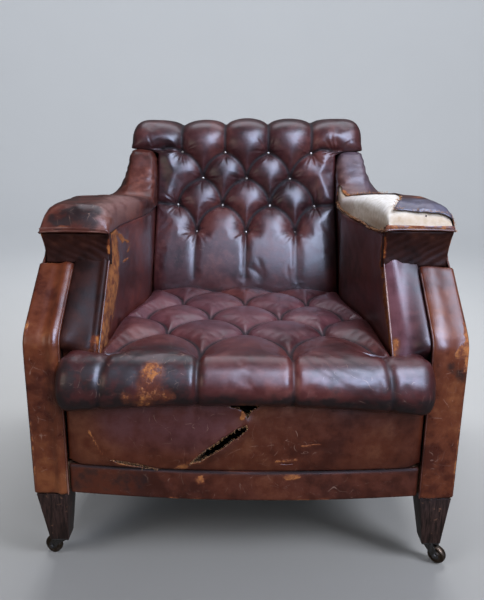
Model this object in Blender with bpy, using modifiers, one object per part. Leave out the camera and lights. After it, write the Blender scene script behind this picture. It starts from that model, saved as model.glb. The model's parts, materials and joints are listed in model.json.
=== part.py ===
"""A worn deep-buttoned leather club chair on castors, in metres, +Z up, front towards -Y.

The origin is on the floor under the middle of the chair. Every piece is its own solid: the wooden
frame, the sprung seat, the stuffed arms and back, the leather facings and covers, and four castors
whose horns swivel and whose wheels roll.
"""

import math

import bmesh
import bpy
from mathutils import Matrix

# Clearance between pieces that touch.
GAP = 0.0003

# Depths below are measured from a cross line through the seat, this far in front of the middle.
DATUM_Y = 0.0515

# Overall levels, from the floor up.
LEG_BOTTOM = 0.0450
FRAME_BOTTOM = 0.150
RAIL_TOP = 0.215
BORDER_TOP = 0.357
BORDER_ARCH = 0.017
ROLL_TOP = 0.4285
ARM_POST_TOP = 0.600
ARM_RAIL_TOP = 0.6283
WING_TOP = 0.7645
BACK_TOP = 0.852

# Half widths.
POST_INNER = 0.339
FRAME_OUTER = 0.395
CHAIR_OUTER = 0.400
FACING_INNER = 0.335
BORDER_HALF = 0.334
BACK_HALF = 0.2325
TOP_ROLL_HALF = 0.300

# Depths, front to back.
FRONT = -0.440
POST_FRONT = -0.4237
POST_REAR = -0.365
SEAT_JUNCTION = -0.4158
ROLL_FRONT = -0.485
BACK_RAIL_FRONT = 0.280

# The back frame leans from this hinge line on top of the back rail.
LEAN = math.radians(5.86)
LEAN_Y = 0.285
LEAN_Z = RAIL_TOP + GAP
UPRIGHT_DEPTH = 0.035

# The padded arm and the wing that it sweeps up into.
ARM_INNER_FRONT = 0.2705
ARM_INNER_REAR = 0.2365
ARM_PAD_LEAD = 0.0006
ARM_EASE_START = -0.230
ARM_EASE_END = 0.020
ARM_PAD_OUTER = 0.398
ARM_PAD_BASE = ARM_RAIL_TOP + GAP
ARM_CROWN = 0.050
ARM_CROWN_LEAST = 0.006
ARM_FALL = 0.115
ARM_FALL_START = -0.100
ARM_NOSE = -0.300
ARM_NOSE_RADIUS = 0.046
WING_START = 0.075
WING_FULL = 0.197
ARM_REAR = 0.3620
COVER_THICKNESS = 0.0022
COVER_CLEARANCE = 0.0005

# Castors.
WHEEL_RADIUS = 0.0180
WHEEL_WIDTH = 0.014
WHEEL_SIDES = 20
ROUND_SIDES = 20
AXLE_RADIUS = 0.0025
AXLE_HALF = 0.0118
BORE_RADIUS = 0.00258
EYE_RADIUS = 0.0027
CHEEK_INNER = 0.0080
CHEEK_THICKNESS = 0.0022
CASTOR_TRAIL = 0.020
AXLE_Z = WHEEL_RADIUS * math.cos(math.pi / WHEEL_SIDES)
PLATE_SIZE = 0.034
PLATE_THICKNESS = 0.003
HORN_TOP = LEG_BOTTOM - PLATE_THICKNESS - 2 * GAP
HORN_CROWN = 0.003
PINTLE_RADIUS = 0.004
PINTLE_TOP = 0.062
PINTLE_HOLE_RADIUS = 0.00411

# Where each leg stands: the middle of its foot, and half of the foot's width.
FOOT_X = {"left": -0.3615, "right": 0.3695}
FOOT_HALF = 0.018
FRONT_LEG_Y = -0.418
BACK_LEG_Y = 0.308
# Each castor: its place and the heading in which its wheel trails, in degrees from +X.
CASTORS = {
    "front_left": (FOOT_X["left"], FRONT_LEG_Y, 160),
    "front_right": (FOOT_X["right"], FRONT_LEG_Y, -40),
    "back_left": (FOOT_X["left"], BACK_LEG_Y, 68),
    "back_right": (FOOT_X["right"], BACK_LEG_Y, 112),
}

# Seat springs and webbing.
SPRING_XS = (-0.17, 0.0, 0.17)
SPRING_YS = (-0.32, -0.14, 0.04)
SPRING_WIRE = 0.002
SPRING_END_RADIUS = 0.045
SPRING_WAIST_RADIUS = 0.030
SPRING_TURNS = 4
SPRING_STEPS = 7
SPRING_BOTTOM = FRAME_BOTTOM
SPRING_TOP = 0.3297
WEB_THICKNESS = 0.0018
WEB_WIDTH = 0.050

SIDES = {"left": -1, "right": 1}

parts = bpy.data.collections.new("club_chair")
cutters = bpy.data.collections.new("cutters")
materials = {}


def clear_scene():
    """Removes what the startup file holds."""
    for obj in list(bpy.data.objects):
        bpy.data.objects.remove(obj, do_unlink=True)
    bpy.context.scene.collection.children.link(parts)
    bpy.context.scene.collection.children.link(cutters)


def material(name, colour, roughness, metallic=0.0):
    """One Principled material for each name."""
    if name not in materials:
        made = bpy.data.materials.new(name)
        made.use_nodes = True
        shader = made.node_tree.nodes["Principled BSDF"]
        shader.inputs["Base Color"].default_value = (*colour, 1.0)
        shader.inputs["Roughness"].default_value = roughness
        shader.inputs["Metallic"].default_value = metallic
        materials[name] = made
    return materials[name]


def oxblood():
    """Buttoned oxblood hide over hair stuffing."""
    return material("oxblood_leather", (0.070, 0.022, 0.018), 0.36)


def tan_leather():
    """Plain tan-brown hide."""
    return material("tan_brown_leather", (0.130, 0.040, 0.018), 0.42)


def dark_leather():
    """The dark hide on the front of the arms."""
    return material("dark_leather", (0.030, 0.014, 0.010), 0.45)


def beech():
    """The hidden beech frame."""
    return material("beech_frame", (0.420, 0.250, 0.120), 0.60)


def stained_leg():
    """Dark-stained hardwood of the posts and legs."""
    return material("stained_leg", (0.045, 0.022, 0.012), 0.40)


def iron():
    """Cast iron of the castors."""
    return material("castor_iron", (0.130, 0.110, 0.090), 0.45, 0.9)


def wheel_material():
    """The castor wheels."""
    return material("castor_wheel", (0.040, 0.036, 0.032), 0.40, 0.3)


def spring_steel():
    """Drawn wire of the springs."""
    return material("spring_steel", (0.320, 0.300, 0.280), 0.40, 1.0)


def jute():
    """Woven jute straps."""
    return material("jute", (0.330, 0.220, 0.110), 0.90)


def calico():
    """Calico over wadding."""
    return material("calico_wadding", (0.620, 0.520, 0.360), 0.90)


def black_cloth():
    """Black bottoming cloth."""
    return material("black_cloth", (0.020, 0.020, 0.020), 0.95)


def add(name, data, finish, collection=parts):
    """Links a new object that holds the data, in its material."""
    obj = bpy.data.objects.new(name, data)
    collection.objects.link(obj)
    if finish is not None:
        data.materials.clear()
        data.materials.append(finish)
    return obj


def smooth(obj, angle=35):
    """Round faces shaded smooth, and edges sharper than the angle kept."""
    obj.data.shade_smooth()
    obj.data.set_sharp_from_angle(angle=math.radians(angle))
    return obj


def mesh_from(bm, name):
    """Ends a bmesh as a new mesh whose faces point outwards."""
    bmesh.ops.recalc_face_normals(bm, faces=bm.faces)
    mesh = bpy.data.meshes.new(name)
    bm.to_mesh(mesh)
    bm.free()
    return mesh


def round_edges(obj, width, segments=2):
    """Rounds a piece's sharper edges with a live bevel."""
    bevel = obj.modifiers.new("rounded", "BEVEL")
    bevel.width = width
    bevel.segments = segments
    bevel.limit_method = "ANGLE"
    bevel.angle_limit = math.radians(30)
    return obj


def box(name, low, high, finish, bevel=0.0, collection=parts):
    """A block between two corners, with its origin at its middle."""
    size = [b - a for a, b in zip(low, high)]
    bm = bmesh.new()
    bmesh.ops.create_cube(bm, size=1.0, matrix=Matrix.Diagonal((*size, 1.0)))
    obj = add(name, mesh_from(bm, name), finish, collection)
    obj.location = [(a + b) / 2 for a, b in zip(low, high)]
    if bevel:
        round_edges(obj, bevel)
    return obj


def cylinder_mesh(name, radius, height, sides):
    """An upright cylinder whose base is at the origin."""
    place = Matrix.Translation((0, 0, height / 2))
    bm = bmesh.new()
    bmesh.ops.create_cone(
        bm, cap_ends=True, segments=sides, radius1=radius, radius2=radius, depth=height, matrix=place
    )
    return mesh_from(bm, name)


def outline_curve(name, points, thickness):
    """A flat closed outline in its own XY plane, thickened evenly to both sides."""
    curve = bpy.data.curves.new(name, "CURVE")
    curve.dimensions = "2D"
    curve.fill_mode = "BOTH"
    curve.extrude = thickness / 2
    spline = curve.splines.new("POLY")
    spline.points.add(len(points) - 1)
    for point, (u, v) in zip(spline.points, points):
        point.co = (u, v, 0.0, 1.0)
    spline.use_cyclic_u = True
    return curve


def as_mesh(curve_obj):
    """Replaces a curve object with the welded mesh that it evaluates to."""
    bpy.context.view_layer.update()
    evaluated = curve_obj.evaluated_get(bpy.context.evaluated_depsgraph_get())
    mesh = bpy.data.meshes.new_from_object(evaluated)
    bm = bmesh.new()
    bm.from_mesh(mesh)
    bmesh.ops.remove_doubles(bm, verts=bm.verts, dist=1e-6)
    bmesh.ops.recalc_face_normals(bm, faces=bm.faces)
    bm.to_mesh(mesh)
    bm.free()
    name = curve_obj.name
    place = curve_obj.matrix_world.copy()
    homes = list(curve_obj.users_collection)
    bpy.data.objects.remove(curve_obj, do_unlink=True)
    obj = bpy.data.objects.new(name, mesh)
    obj.matrix_world = place
    for home in homes:
        home.objects.link(obj)
    return obj


def side_plate(name, outline_yz, x_low, x_high, finish, bevel=0.0, collection=parts):
    """An outline drawn in the YZ plane and thickened from one X to the other."""
    low, high = sorted((x_low, x_high))
    obj = add(name, outline_curve(name, outline_yz, high - low), finish, collection)
    obj.rotation_euler = (math.pi / 2, 0, math.pi / 2)
    obj.location = ((low + high) / 2, 0, 0)
    obj = as_mesh(obj)
    if bevel:
        round_edges(obj, bevel)
    return obj


def plan_plate(name, outline_xy, z_low, z_high, finish, bevel=0.0, collection=parts):
    """An outline drawn in plan and thickened from one height to the other."""
    obj = add(name, outline_curve(name, outline_xy, z_high - z_low), finish, collection)
    obj.location = (0, 0, (z_low + z_high) / 2)
    obj = as_mesh(obj)
    if bevel:
        round_edges(obj, bevel)
    return obj


def boolean(obj, cutter, operation="DIFFERENCE"):
    """Cuts the cutter from the object, or joins it, and hides it."""
    cutter.hide_render = True
    cutter.display_type = "WIRE"
    modifier = obj.modifiers.new(operation.lower(), "BOOLEAN")
    modifier.operation = operation
    modifier.solver = "EXACT"
    modifier.object = cutter
    return obj


def loft(name, rings, finish, collection=parts):
    """A closed solid through rings of equally many points, capped at both ends."""
    bm = bmesh.new()
    rows = [[bm.verts.new(point) for point in ring] for ring in rings]
    count = len(rows[0])
    for row, following in zip(rows, rows[1:]):
        for i in range(count):
            j = (i + 1) % count
            bm.faces.new((row[i], row[j], following[j], following[i]))
    bm.faces.new(rows[0][::-1])
    bm.faces.new(rows[-1])
    return add(name, mesh_from(bm, name), finish, collection)


def sheet_mesh(name, rows_of_points):
    """An open surface through rows of equally many points."""
    bm = bmesh.new()
    rows = [[bm.verts.new(point) for point in row] for row in rows_of_points]
    for row, following in zip(rows, rows[1:]):
        for i in range(len(row) - 1):
            bm.faces.new((row[i], row[i + 1], following[i + 1], following[i]))
    return mesh_from(bm, name)


def bow(x, y_end, rise, half):
    """The depth of a front edge that bows forward by the rise at its middle."""
    return y_end - rise * (1 - (x / half) ** 2)


def bowed_outline(half, y_end, rise, y_back, steps=10):
    """A plan outline with a bowed front and a straight back."""
    xs = [-half + 2 * half * i / steps for i in range(steps + 1)]
    return [(x, bow(x, y_end, rise, half)) for x in xs] + [(half, y_back), (-half, y_back)]


def leaning(obj, y, z):
    """Stands an object on the leaning plane of the back frame, y behind it and z up along it."""
    obj.rotation_euler = (-LEAN, 0, 0)
    obj.location = (
        0,
        LEAN_Y + y * math.cos(LEAN) + z * math.sin(LEAN),
        LEAN_Z - y * math.sin(LEAN) + z * math.cos(LEAN),
    )
    return obj


def lean_block(name, low, high, finish, bevel=0.0):
    """A block between two corners given on the leaning plane of the back frame."""
    obj = box(name, low, high, finish, bevel)
    middle = obj.location.copy()
    leaning(obj, middle.y, middle.z)
    obj.location.x = middle.x
    return obj


# ---------------------------------------------------------------- wooden frame

FACING_FRONT_LINE = [
    (FRONT, 0.147),
    (FRONT, 0.440),
    (-0.4385, 0.452),
    (-0.434, 0.464),
    (-0.425, 0.475),
    (-0.300, 0.5812),
]
FACING_BACK_LINE = [(-0.28964, 0.5690), (-0.424, 0.4548), (-0.424, 0.147)]
POST_OUTLINE = [
    (POST_FRONT, 0.150),
    (POST_FRONT, 0.4493),
    (-0.4193, 0.4577),
    (-0.2890, 0.5682),
    (-0.2637, 0.5682),
    (-0.2637, ARM_POST_TOP),
    (-0.205, ARM_POST_TOP),
    (-0.205, 0.545),
    (POST_REAR, 0.400),
    (POST_REAR, 0.150),
]


def taper_leg(name, top_low, top_high, bottom_low, bottom_high, top_z):
    """A square leg that tapers from one plan rectangle at the top to another at the bottom."""

    def ring(low, high, z):
        """One ring of four corners."""
        return [(low[0], low[1], z), (high[0], low[1], z), (high[0], high[1], z), (low[0], high[1], z)]

    return loft(name, [ring(bottom_low, bottom_high, LEG_BOTTOM), ring(top_low, top_high, top_z)],
                stained_leg())


def mirrored(low, high, side):
    """An X range given for the right side, on the side asked for."""
    return tuple(sorted((low * side, high * side)))


def pintle_hole(name, x, y):
    """The cutter of the hole in which a castor's pintle turns."""
    mesh = cylinder_mesh(name, PINTLE_HOLE_RADIUS, PINTLE_TOP - 0.019, ROUND_SIDES)
    hole = add(f"{name}_pintle_hole", mesh, None, cutters)
    hole.location = (x, y, 0.020)
    return hole


def front_leg(side_name, side):
    """The leg, the front post and the stump of the arm, cut from one piece of wood."""
    x_low, x_high = mirrored(POST_INNER, FRAME_OUTER, side)
    post = side_plate(f"front_leg_{side_name}", POST_OUTLINE, x_low, x_high, stained_leg())
    top = mirrored(0.3395, 0.3985, side)
    foot_x = FOOT_X[side_name]
    leg = taper_leg(
        f"front_leg_{side_name}_foot",
        (top[0], -0.4385), (top[1], -0.3655),
        (foot_x - FOOT_HALF, FRONT_LEG_Y - FOOT_HALF), (foot_x + FOOT_HALF, FRONT_LEG_Y + FOOT_HALF), 0.1465
    )
    tenon = box(f"front_leg_{side_name}_tenon", (x_low + 0.002, -0.4230, 0.140),
                (x_high - 0.002, -0.3670, 0.160), None, collection=cutters)
    cutters.objects.link(leg)
    parts.objects.unlink(leg)
    boolean(post, leg, "UNION")
    boolean(post, tenon, "UNION")
    boolean(post, pintle_hole(post.name, foot_x, FRONT_LEG_Y))
    return post


def back_leg(side_name, side):
    """The raked leg and the back post up to the arm, cut from one piece of wood."""
    x_low, x_high = mirrored(POST_INNER, FRAME_OUTER, side)

    def plane(z):
        """The depth of the back frame's leaning rear plane at a height."""
        return LEAN_Y + (z - LEAN_Z) * math.tan(LEAN) + UPRIGHT_DEPTH - 0.0008

    def ring(x_range, y_low, y_high, z):
        """One ring of four corners."""
        low, high = x_range
        return [(low, y_low, z), (high, y_low, z), (high, y_high, z), (low, y_high, z)]

    foot_x = FOOT_X[side_name]
    foot = (foot_x - FOOT_HALF, foot_x + FOOT_HALF)
    knee = FRAME_BOTTOM - 0.004
    rings = [
        ring(foot, BACK_LEG_Y - FOOT_HALF, BACK_LEG_Y + FOOT_HALF, LEG_BOTTOM),
        ring((x_low, x_high), plane(knee) - 0.050, plane(knee), knee),
        ring((x_low, x_high), plane(ARM_POST_TOP) - 0.050, plane(ARM_POST_TOP), ARM_POST_TOP),
    ]
    post = loft(f"back_leg_{side_name}", rings, stained_leg())
    boolean(post, pintle_hole(post.name, foot_x, BACK_LEG_Y))
    return post


def seat_frame():
    """The four seat rails."""
    inner = POST_INNER - 0.0005
    plan_plate("front_rail", bowed_outline(inner, -0.4232, 0.022, -0.395),
               FRAME_BOTTOM, RAIL_TOP - 0.0075, beech())
    box("back_rail", (-inner, BACK_RAIL_FRONT, FRAME_BOTTOM), (inner, 0.3128, RAIL_TOP), beech(), 0.002)
    for side_name, side in SIDES.items():
        x_low, x_high = mirrored(0.362, FRAME_OUTER, side)
        box(f"side_rail_{side_name}", (x_low, POST_REAR + GAP, FRAME_BOTTOM), (x_high, 0.2615, RAIL_TOP),
            beech(), 0.002)


def upper_frame():
    """The arm rails, the uprights of the back and its top rail."""
    for side_name, side in SIDES.items():
        x_low, x_high = mirrored(0.3003, FRAME_OUTER, side)
        box(f"arm_rail_{side_name}", (x_low, -0.2632, ARM_POST_TOP + GAP), (x_high, 0.3550, ARM_RAIL_TOP),
            beech(), 0.002)
        x_low, x_high = mirrored(0.242, 0.282, side)
        lean_block(f"back_upright_{side_name}", (x_low, 0, 0.0037), (x_high, UPRIGHT_DEPTH, 0.555), beech(),
                   0.002)
    lean_block("top_rail", (-0.2415, 0, 0.485), (0.2415, UPRIGHT_DEPTH - 0.003, 0.555), beech(), 0.002)


# ---------------------------------------------------------------- castors

def castor_plate(name, x, y):
    """The square plate screwed under a leg, with the hole that its pintle turns in."""
    half = PLATE_SIZE / 2
    plate = box(f"{name}_castor_plate", (x - half, y - half, LEG_BOTTOM - PLATE_THICKNESS - GAP),
                (x + half, y + half, LEG_BOTTOM - GAP), iron())
    return boolean(plate, pintle_hole(plate.name, x, y))


def cheek_outline():
    """One cheek of the horn from the side: a crown that sweeps back and down to a round eye."""
    eye = [
        (CASTOR_TRAIL + 0.0066 * math.cos(a), AXLE_Z + 0.0066 * math.sin(a))
        for a in (math.radians(40 - 30 * i) for i in range(7))
    ]
    return [(-0.011, HORN_TOP), (0.013, HORN_TOP), *eye, (-0.002, 0.0320), (-0.011, 0.0365)]


def castor_horn(name, x, y, heading, mesh):
    """The swivelling fork: a crown with two cheeks and the pintle that turns in the leg."""
    horn = add(f"{name}_castor_horn", mesh, iron())
    horn.location = (x, y, 0)
    horn.rotation_euler = (0, 0, heading)
    return horn


def horn_mesh():
    """The mesh that the four horns share, with its swivel axis at the origin."""
    crown = add("horn_crown", cylinder_mesh("horn_crown", 0.0135, HORN_CROWN, 24), None)
    crown.location = (0, 0, HORN_TOP - HORN_CROWN)
    pintle = add("horn_pintle", cylinder_mesh("horn_pintle", PINTLE_RADIUS, PINTLE_TOP - HORN_TOP + 0.001,
                                              ROUND_SIDES),
                 None, cutters)
    pintle.location = (0, 0, HORN_TOP - 0.001)
    boolean(crown, pintle, "UNION")
    for side_name, side in SIDES.items():
        cheek = add(f"horn_cheek_{side_name}", outline_curve("cheek", cheek_outline(), CHEEK_THICKNESS), None,
                    cutters)
        cheek.rotation_euler = (math.pi / 2, 0, 0)
        cheek.location = (0, side * (CHEEK_INNER + CHEEK_THICKNESS / 2), -0.00005)
        cheek = as_mesh(cheek)
        boolean(crown, cheek, "UNION")
    eye = add("horn_eye", cylinder_mesh("horn_eye", EYE_RADIUS, 0.04, ROUND_SIDES), None, cutters)
    eye.rotation_euler = (math.pi / 2, 0, 0)
    eye.location = (CASTOR_TRAIL, 0.02, AXLE_Z)
    boolean(crown, eye)
    bpy.context.view_layer.update()
    evaluated = crown.evaluated_get(bpy.context.evaluated_depsgraph_get())
    mesh = bpy.data.meshes.new_from_object(evaluated)
    mesh.transform(Matrix.Translation((0, 0, HORN_TOP - HORN_CROWN)))
    bpy.data.objects.remove(crown, do_unlink=True)
    return mesh


def axle_mesh():
    """A riveted pin along its own Y axis, with a low head at each end."""
    head = AXLE_HALF + 0.0012
    profile = [
        (0, -head), (0.0034, -head), (0.0042, -AXLE_HALF + 0.0010), (AXLE_RADIUS, -AXLE_HALF + 0.0010),
        (AXLE_RADIUS, AXLE_HALF - 0.0010), (0.0042, AXLE_HALF - 0.0010), (0.0034, head), (0, head),
    ]
    return turned_mesh("castor_axle", profile, 16)


def wheel_mesh():
    """A narrow wheel with a rounded tread, hollowed faces and a hub, along its own Y axis."""
    half = WHEEL_WIDTH / 2
    profile = [
        (BORE_RADIUS, -half), (0.0064, -half), (0.0128, -half + 0.0018), (0.0142, -half + 0.0004),
        (WHEEL_RADIUS, -half + 0.0030), (WHEEL_RADIUS, half - 0.0030), (0.0142, half - 0.0004),
        (0.0128, half - 0.0018), (0.0064, half), (BORE_RADIUS, half),
    ]
    return turned_mesh("castor_wheel", profile, WHEEL_SIDES, ring=True)


def turned_mesh(name, profile, sides, ring=False):
    """A profile of (radius, place along the axis) turned about Y with a flat facet at the bottom."""
    bm = bmesh.new()
    start = math.pi / sides
    rows = []
    for radius, along in profile:
        rows.append([bm.verts.new((radius, 0, along))])
    edges = [bm.edges.new((a[0], b[0])) for a, b in zip(rows, rows[1:])]
    if ring:
        edges.append(bm.edges.new((rows[-1][0], rows[0][0])))
    mesh = bpy.data.meshes.new(name)
    bm.to_mesh(mesh)
    bm.free()
    lathe = add(name + "_lathe", mesh, None)
    screw = lathe.modifiers.new("turned", "SCREW")
    screw.axis = "Z"
    screw.steps = screw.render_steps = sides
    screw.use_merge_vertices = True
    screw.merge_threshold = 1e-5
    bpy.context.view_layer.update()
    made = bpy.data.meshes.new_from_object(lathe.evaluated_get(bpy.context.evaluated_depsgraph_get()))
    bpy.data.objects.remove(lathe, do_unlink=True)
    bm = bmesh.new()
    bm.from_mesh(made)
    bmesh.ops.remove_doubles(bm, verts=bm.verts, dist=1e-5)
    bmesh.ops.recalc_face_normals(bm, faces=bm.faces)
    bm.to_mesh(made)
    bm.free()
    made.transform(Matrix.Rotation(-math.pi / 2, 4, "X") @ Matrix.Rotation(start, 4, "Z"))
    return made


def castors():
    """Four plate castors: plate, swivelling horn, axle pin and wheel."""
    horn, axle, wheel = horn_mesh(), axle_mesh(), wheel_mesh()
    for name, (x, y, heading_deg) in CASTORS.items():
        heading = math.radians(heading_deg)
        castor_plate(name, x, y)
        castor_horn(name, x, y, heading, horn)
        hub = (x + CASTOR_TRAIL * math.cos(heading), y + CASTOR_TRAIL * math.sin(heading), AXLE_Z)
        for piece, mesh, finish in (("axle", axle, iron()), ("wheel", wheel, wheel_material())):
            obj = add(f"{name}_castor_{piece}", mesh, finish)
            obj.location = hub
            obj.rotation_euler = (0, 0, heading)
            smooth(obj)


# ---------------------------------------------------------------- sprung seat

def lattice(name, xs, ys, x_range, y_range, width, thickness, finish):
    """Flat straps that cross, as one thin sheet with square holes, in its own XY plane."""

    def lines(centres, low, high):
        """Every strap edge across one direction, from low to high."""
        edges = sorted(c + s * width / 2 for c in centres for s in (-1, 1))
        return [low, *edges, high]

    u, v = lines(xs, *x_range), lines(ys, *y_range)
    bm = bmesh.new()
    grid = [[bm.verts.new((x, y, 0)) for y in v] for x in u]
    for i in range(len(u) - 1):
        for j in range(len(v) - 1):
            if i % 2 or j % 2:
                bm.faces.new((grid[i][j], grid[i + 1][j], grid[i + 1][j + 1], grid[i][j + 1]))
    bmesh.ops.delete(bm, geom=[p for p in bm.verts if not p.link_faces], context="VERTS")
    obj = add(name, mesh_from(bm, name), finish)
    solid = obj.modifiers.new("thickness", "SOLIDIFY")
    solid.thickness = thickness
    solid.offset = 0
    return obj


def spring_points():
    """The centreline of an hourglass spring with a flat turn at each end."""
    bottom, top = SPRING_BOTTOM + SPRING_WIRE + GAP, SPRING_TOP - SPRING_WIRE
    count = SPRING_TURNS * SPRING_STEPS
    points = []
    for i in range(count + 1):
        turn = i / SPRING_STEPS
        rise = min(max((turn - 0.9) / (SPRING_TURNS - 1.8), 0.0), 1.0)
        waist = math.sin(math.pi * rise)
        radius = SPRING_END_RADIUS - (SPRING_END_RADIUS - SPRING_WAIST_RADIUS) * waist
        if turn < 0.9 or turn > SPRING_TURNS - 0.9:
            radius = SPRING_END_RADIUS
        # The last turn closes just inside its own start, so that the wire doesn't cross itself.
        radius -= 0.006 * max(0.0, 0.35 - turn) + 0.006 * max(0.0, turn - SPRING_TURNS + 0.35)
        angle = 2 * math.pi * turn
        points.append((radius * math.cos(angle), radius * math.sin(angle), bottom + (top - bottom) * rise))
    return points


def seat_springs():
    """The three rows of hourglass springs, which share one curve."""
    curve = bpy.data.curves.new("seat_spring", "CURVE")
    curve.dimensions = "3D"
    curve.bevel_depth = SPRING_WIRE
    curve.bevel_resolution = 0
    curve.use_fill_caps = True
    points = spring_points()
    spline = curve.splines.new("POLY")
    spline.points.add(len(points) - 1)
    for point, place in zip(spline.points, points):
        point.co = (*place, 1.0)
    for row, y in enumerate(SPRING_YS, 1):
        for column, x in enumerate(SPRING_XS, 1):
            obj = add(f"seat_spring_{row}{column}", curve, spring_steel())
            obj.location = (x, y, 0)


def seat_inner(y):
    """The half width that the inside arms leave for the seat at a depth."""
    return arm_inner(y) - 0.0008


def arm_inner(y):
    """The inner face of the arm: parallel in front, closing in towards the back."""
    t = min(max((y - ARM_EASE_START) / (ARM_EASE_END - ARM_EASE_START), 0.0), 1.0)
    ease = t * t * (3 - 2 * t)
    return ARM_INNER_FRONT + (ARM_INNER_REAR - ARM_INNER_FRONT) * ease


def seat():
    """Webbing, springs, hessian, stuffing, the buttoned seat, its border and the dust cover."""
    webbing = lattice("seat_webbing", [-0.24 + 0.12 * i for i in range(5)],
                      [-0.32 + 0.12 * i for i in range(5)], (-0.388, 0.388), (-0.4235, 0.3100),
                      WEB_WIDTH, WEB_THICKNESS, jute())
    webbing.location = (0, 0, FRAME_BOTTOM - GAP - WEB_THICKNESS / 2)
    corners = (
        ("fl", (-0.42, -0.46), (-0.3375, -0.355)), ("fr", (0.3375, -0.46), (0.42, -0.355)),
        ("bl", (-0.42, 0.240), (-0.3375, 0.36)), ("br", (0.3375, 0.240), (0.42, 0.36)),
    )
    for tag, low, high in corners:
        boolean(webbing, box(f"webbing_corner_{tag}", (*low, 0.14), (*high, 0.16), None, collection=cutters))
    seat_springs()
    box("spring_hessian", (-0.2665, -0.400, 0.3300), (0.2665, 0.165, 0.3318), jute())
    stuffing = [(seat_inner(y) - 0.003, y) for y in (-0.4130, -0.23, -0.18, -0.12, -0.06, 0.0, 0.165)]
    plan_plate("seat_stuffing", stuffing + [(-x, y) for x, y in reversed(stuffing)], 0.3321, 0.3652, calico())
    tufted_seat()
    seat_border()
    plan_plate("front_rail_cover", strip_outline(0.3345, -0.4245, 0.022, 0.009), 0.1468, 0.2080,
               tan_leather())
    box("dust_cover", (-0.334, -0.418, 0.1458), (0.334, 0.300, 0.1473), black_cloth())


def strip_outline(half, y_back, rise, thickness, steps=12):
    """A plan outline of a thin strip that follows the bow of the front."""
    xs = [-half + 2 * half * i / steps for i in range(steps + 1)]
    front = [(x, bow(x, y_back - thickness, rise, half)) for x in xs]
    back = [(x, bow(x, y_back, rise, half)) for x in reversed(xs)]
    return front + back


# Along a roll from one end to the other: the place as a share of its half width, and its fullness.
ROLL_STATIONS = [
    (-1.00, 0.62), (-0.98, 0.79), (-0.95, 0.90), (-0.86, 0.97), (-0.60, 1.0), (-0.30, 1.0), (0.0, 1.0),
    (0.30, 1.0), (0.60, 1.0), (0.86, 0.97), (0.95, 0.90), (0.98, 0.79), (1.00, 0.62),
]


def border_edge(x):
    """The height of the border's arched top edge, under the roll."""
    return BORDER_TOP - BORDER_ARCH * (x / BORDER_HALF) ** 2


def roll_underside(x):
    """Where the roll rests on the border's top edge."""
    return border_edge(x) + 0.0006


def tufted_seat():
    """The buttoned seat: a pad between the arms and a roll across the front of them."""
    rear = 0.0830
    ys = [-0.4460, -0.24, -0.18, -0.12, -0.06, 0.0, 0.055]
    half = [(seat_inner(y), y) for y in ys] + [(0.212, rear)]
    body = plan_plate("tufted_seat", half + [(-x, y) for x, y in reversed(half)], 0.3655, 0.4250, oxblood(),
                      0.010)
    section = [
        (SEAT_JUNCTION, 0.0), (SEAT_JUNCTION, 0.90), (-0.430, 1.0), (-0.452, 0.96), (-0.472, 0.83),
        (-0.482, 0.62), (ROLL_FRONT, 0.40), (-0.481, 0.18), (-0.470, 0.0),
    ]
    half_width = FACING_INNER - 0.001
    rings = []
    for share, swell in ROLL_STATIONS:
        x = share * half_width
        low = roll_underside(x)
        depth = 0.45 + 0.55 * swell
        rings.append([
            (x, SEAT_JUNCTION + (y - SEAT_JUNCTION) * depth, low + (ROLL_TOP - low) * swell * z)
            for y, z in section
        ])
    roll = smooth(loft("seat_roll", rings, None, cutters), 50)
    return boolean(body, roll, "UNION")


# Tears in the border, seen from the front: outlines in (x, z).
TEARS = {
    "long": [
        (-0.1310, 0.2030), (-0.1090, 0.2235), (-0.0815, 0.2440), (-0.0515, 0.2690), (-0.0185, 0.2940),
        (0.0050, 0.3110), (0.0075, 0.3020), (-0.0070, 0.2830), (-0.0400, 0.2560), (-0.0715, 0.2325),
        (-0.1000, 0.2130),
    ],
    "short": [(-0.2460, 0.2250), (-0.2210, 0.2240), (-0.1930, 0.2170), (-0.1620, 0.2120), (-0.1950, 0.2125)],
}


def seat_border():
    """The leather panel under the roll, torn across, standing on the front rail's cover."""
    columns = [share * BORDER_HALF for share, _ in ROLL_STATIONS]
    bottom = RAIL_TOP - 0.0068
    rows = []
    for share in (0.0, 1.0):
        rows.append([(x, bow(x, -0.4295, 0.020, BORDER_HALF), bottom + (border_edge(x) - bottom) * share)
                     for x in columns])
    border = add("seat_border", sheet_mesh("seat_border", rows), tan_leather())
    solid = border.modifiers.new("leather", "SOLIDIFY")
    solid.thickness = 0.006
    solid.offset = 1 if border.data.polygons[0].normal.y < 0 else -1
    for tag, outline in TEARS.items():
        cutter = add(f"tear_{tag}", outline_curve("tear", outline, 0.08), None, cutters)
        cutter.rotation_euler = (math.pi / 2, 0, 0)
        cutter.location = (0, -0.450, 0)
        boolean(border, as_mesh(cutter))
    return border


# ---------------------------------------------------------------- arms and wings

def crown_height(y):
    """How high the arm's crown stands over its base: rounded down at the nose, falling to the rear."""
    nose = ARM_NOSE + ARM_NOSE_RADIUS - 0.001
    if y >= nose:
        return max(ARM_CROWN - ARM_FALL * max(0.0, y - ARM_FALL_START), ARM_CROWN_LEAST)
    return ARM_CROWN * math.sqrt(max(0.0, 1 - ((nose - y) / ARM_NOSE_RADIUS) ** 2)) + 0.002


def wing_share(y):
    """0 along the arm, 1 where the wing is at full height."""
    t = min(max((y - WING_START) / (WING_FULL - WING_START), 0.0), 1.0)
    return t * t * (3 - 2 * t)


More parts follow.
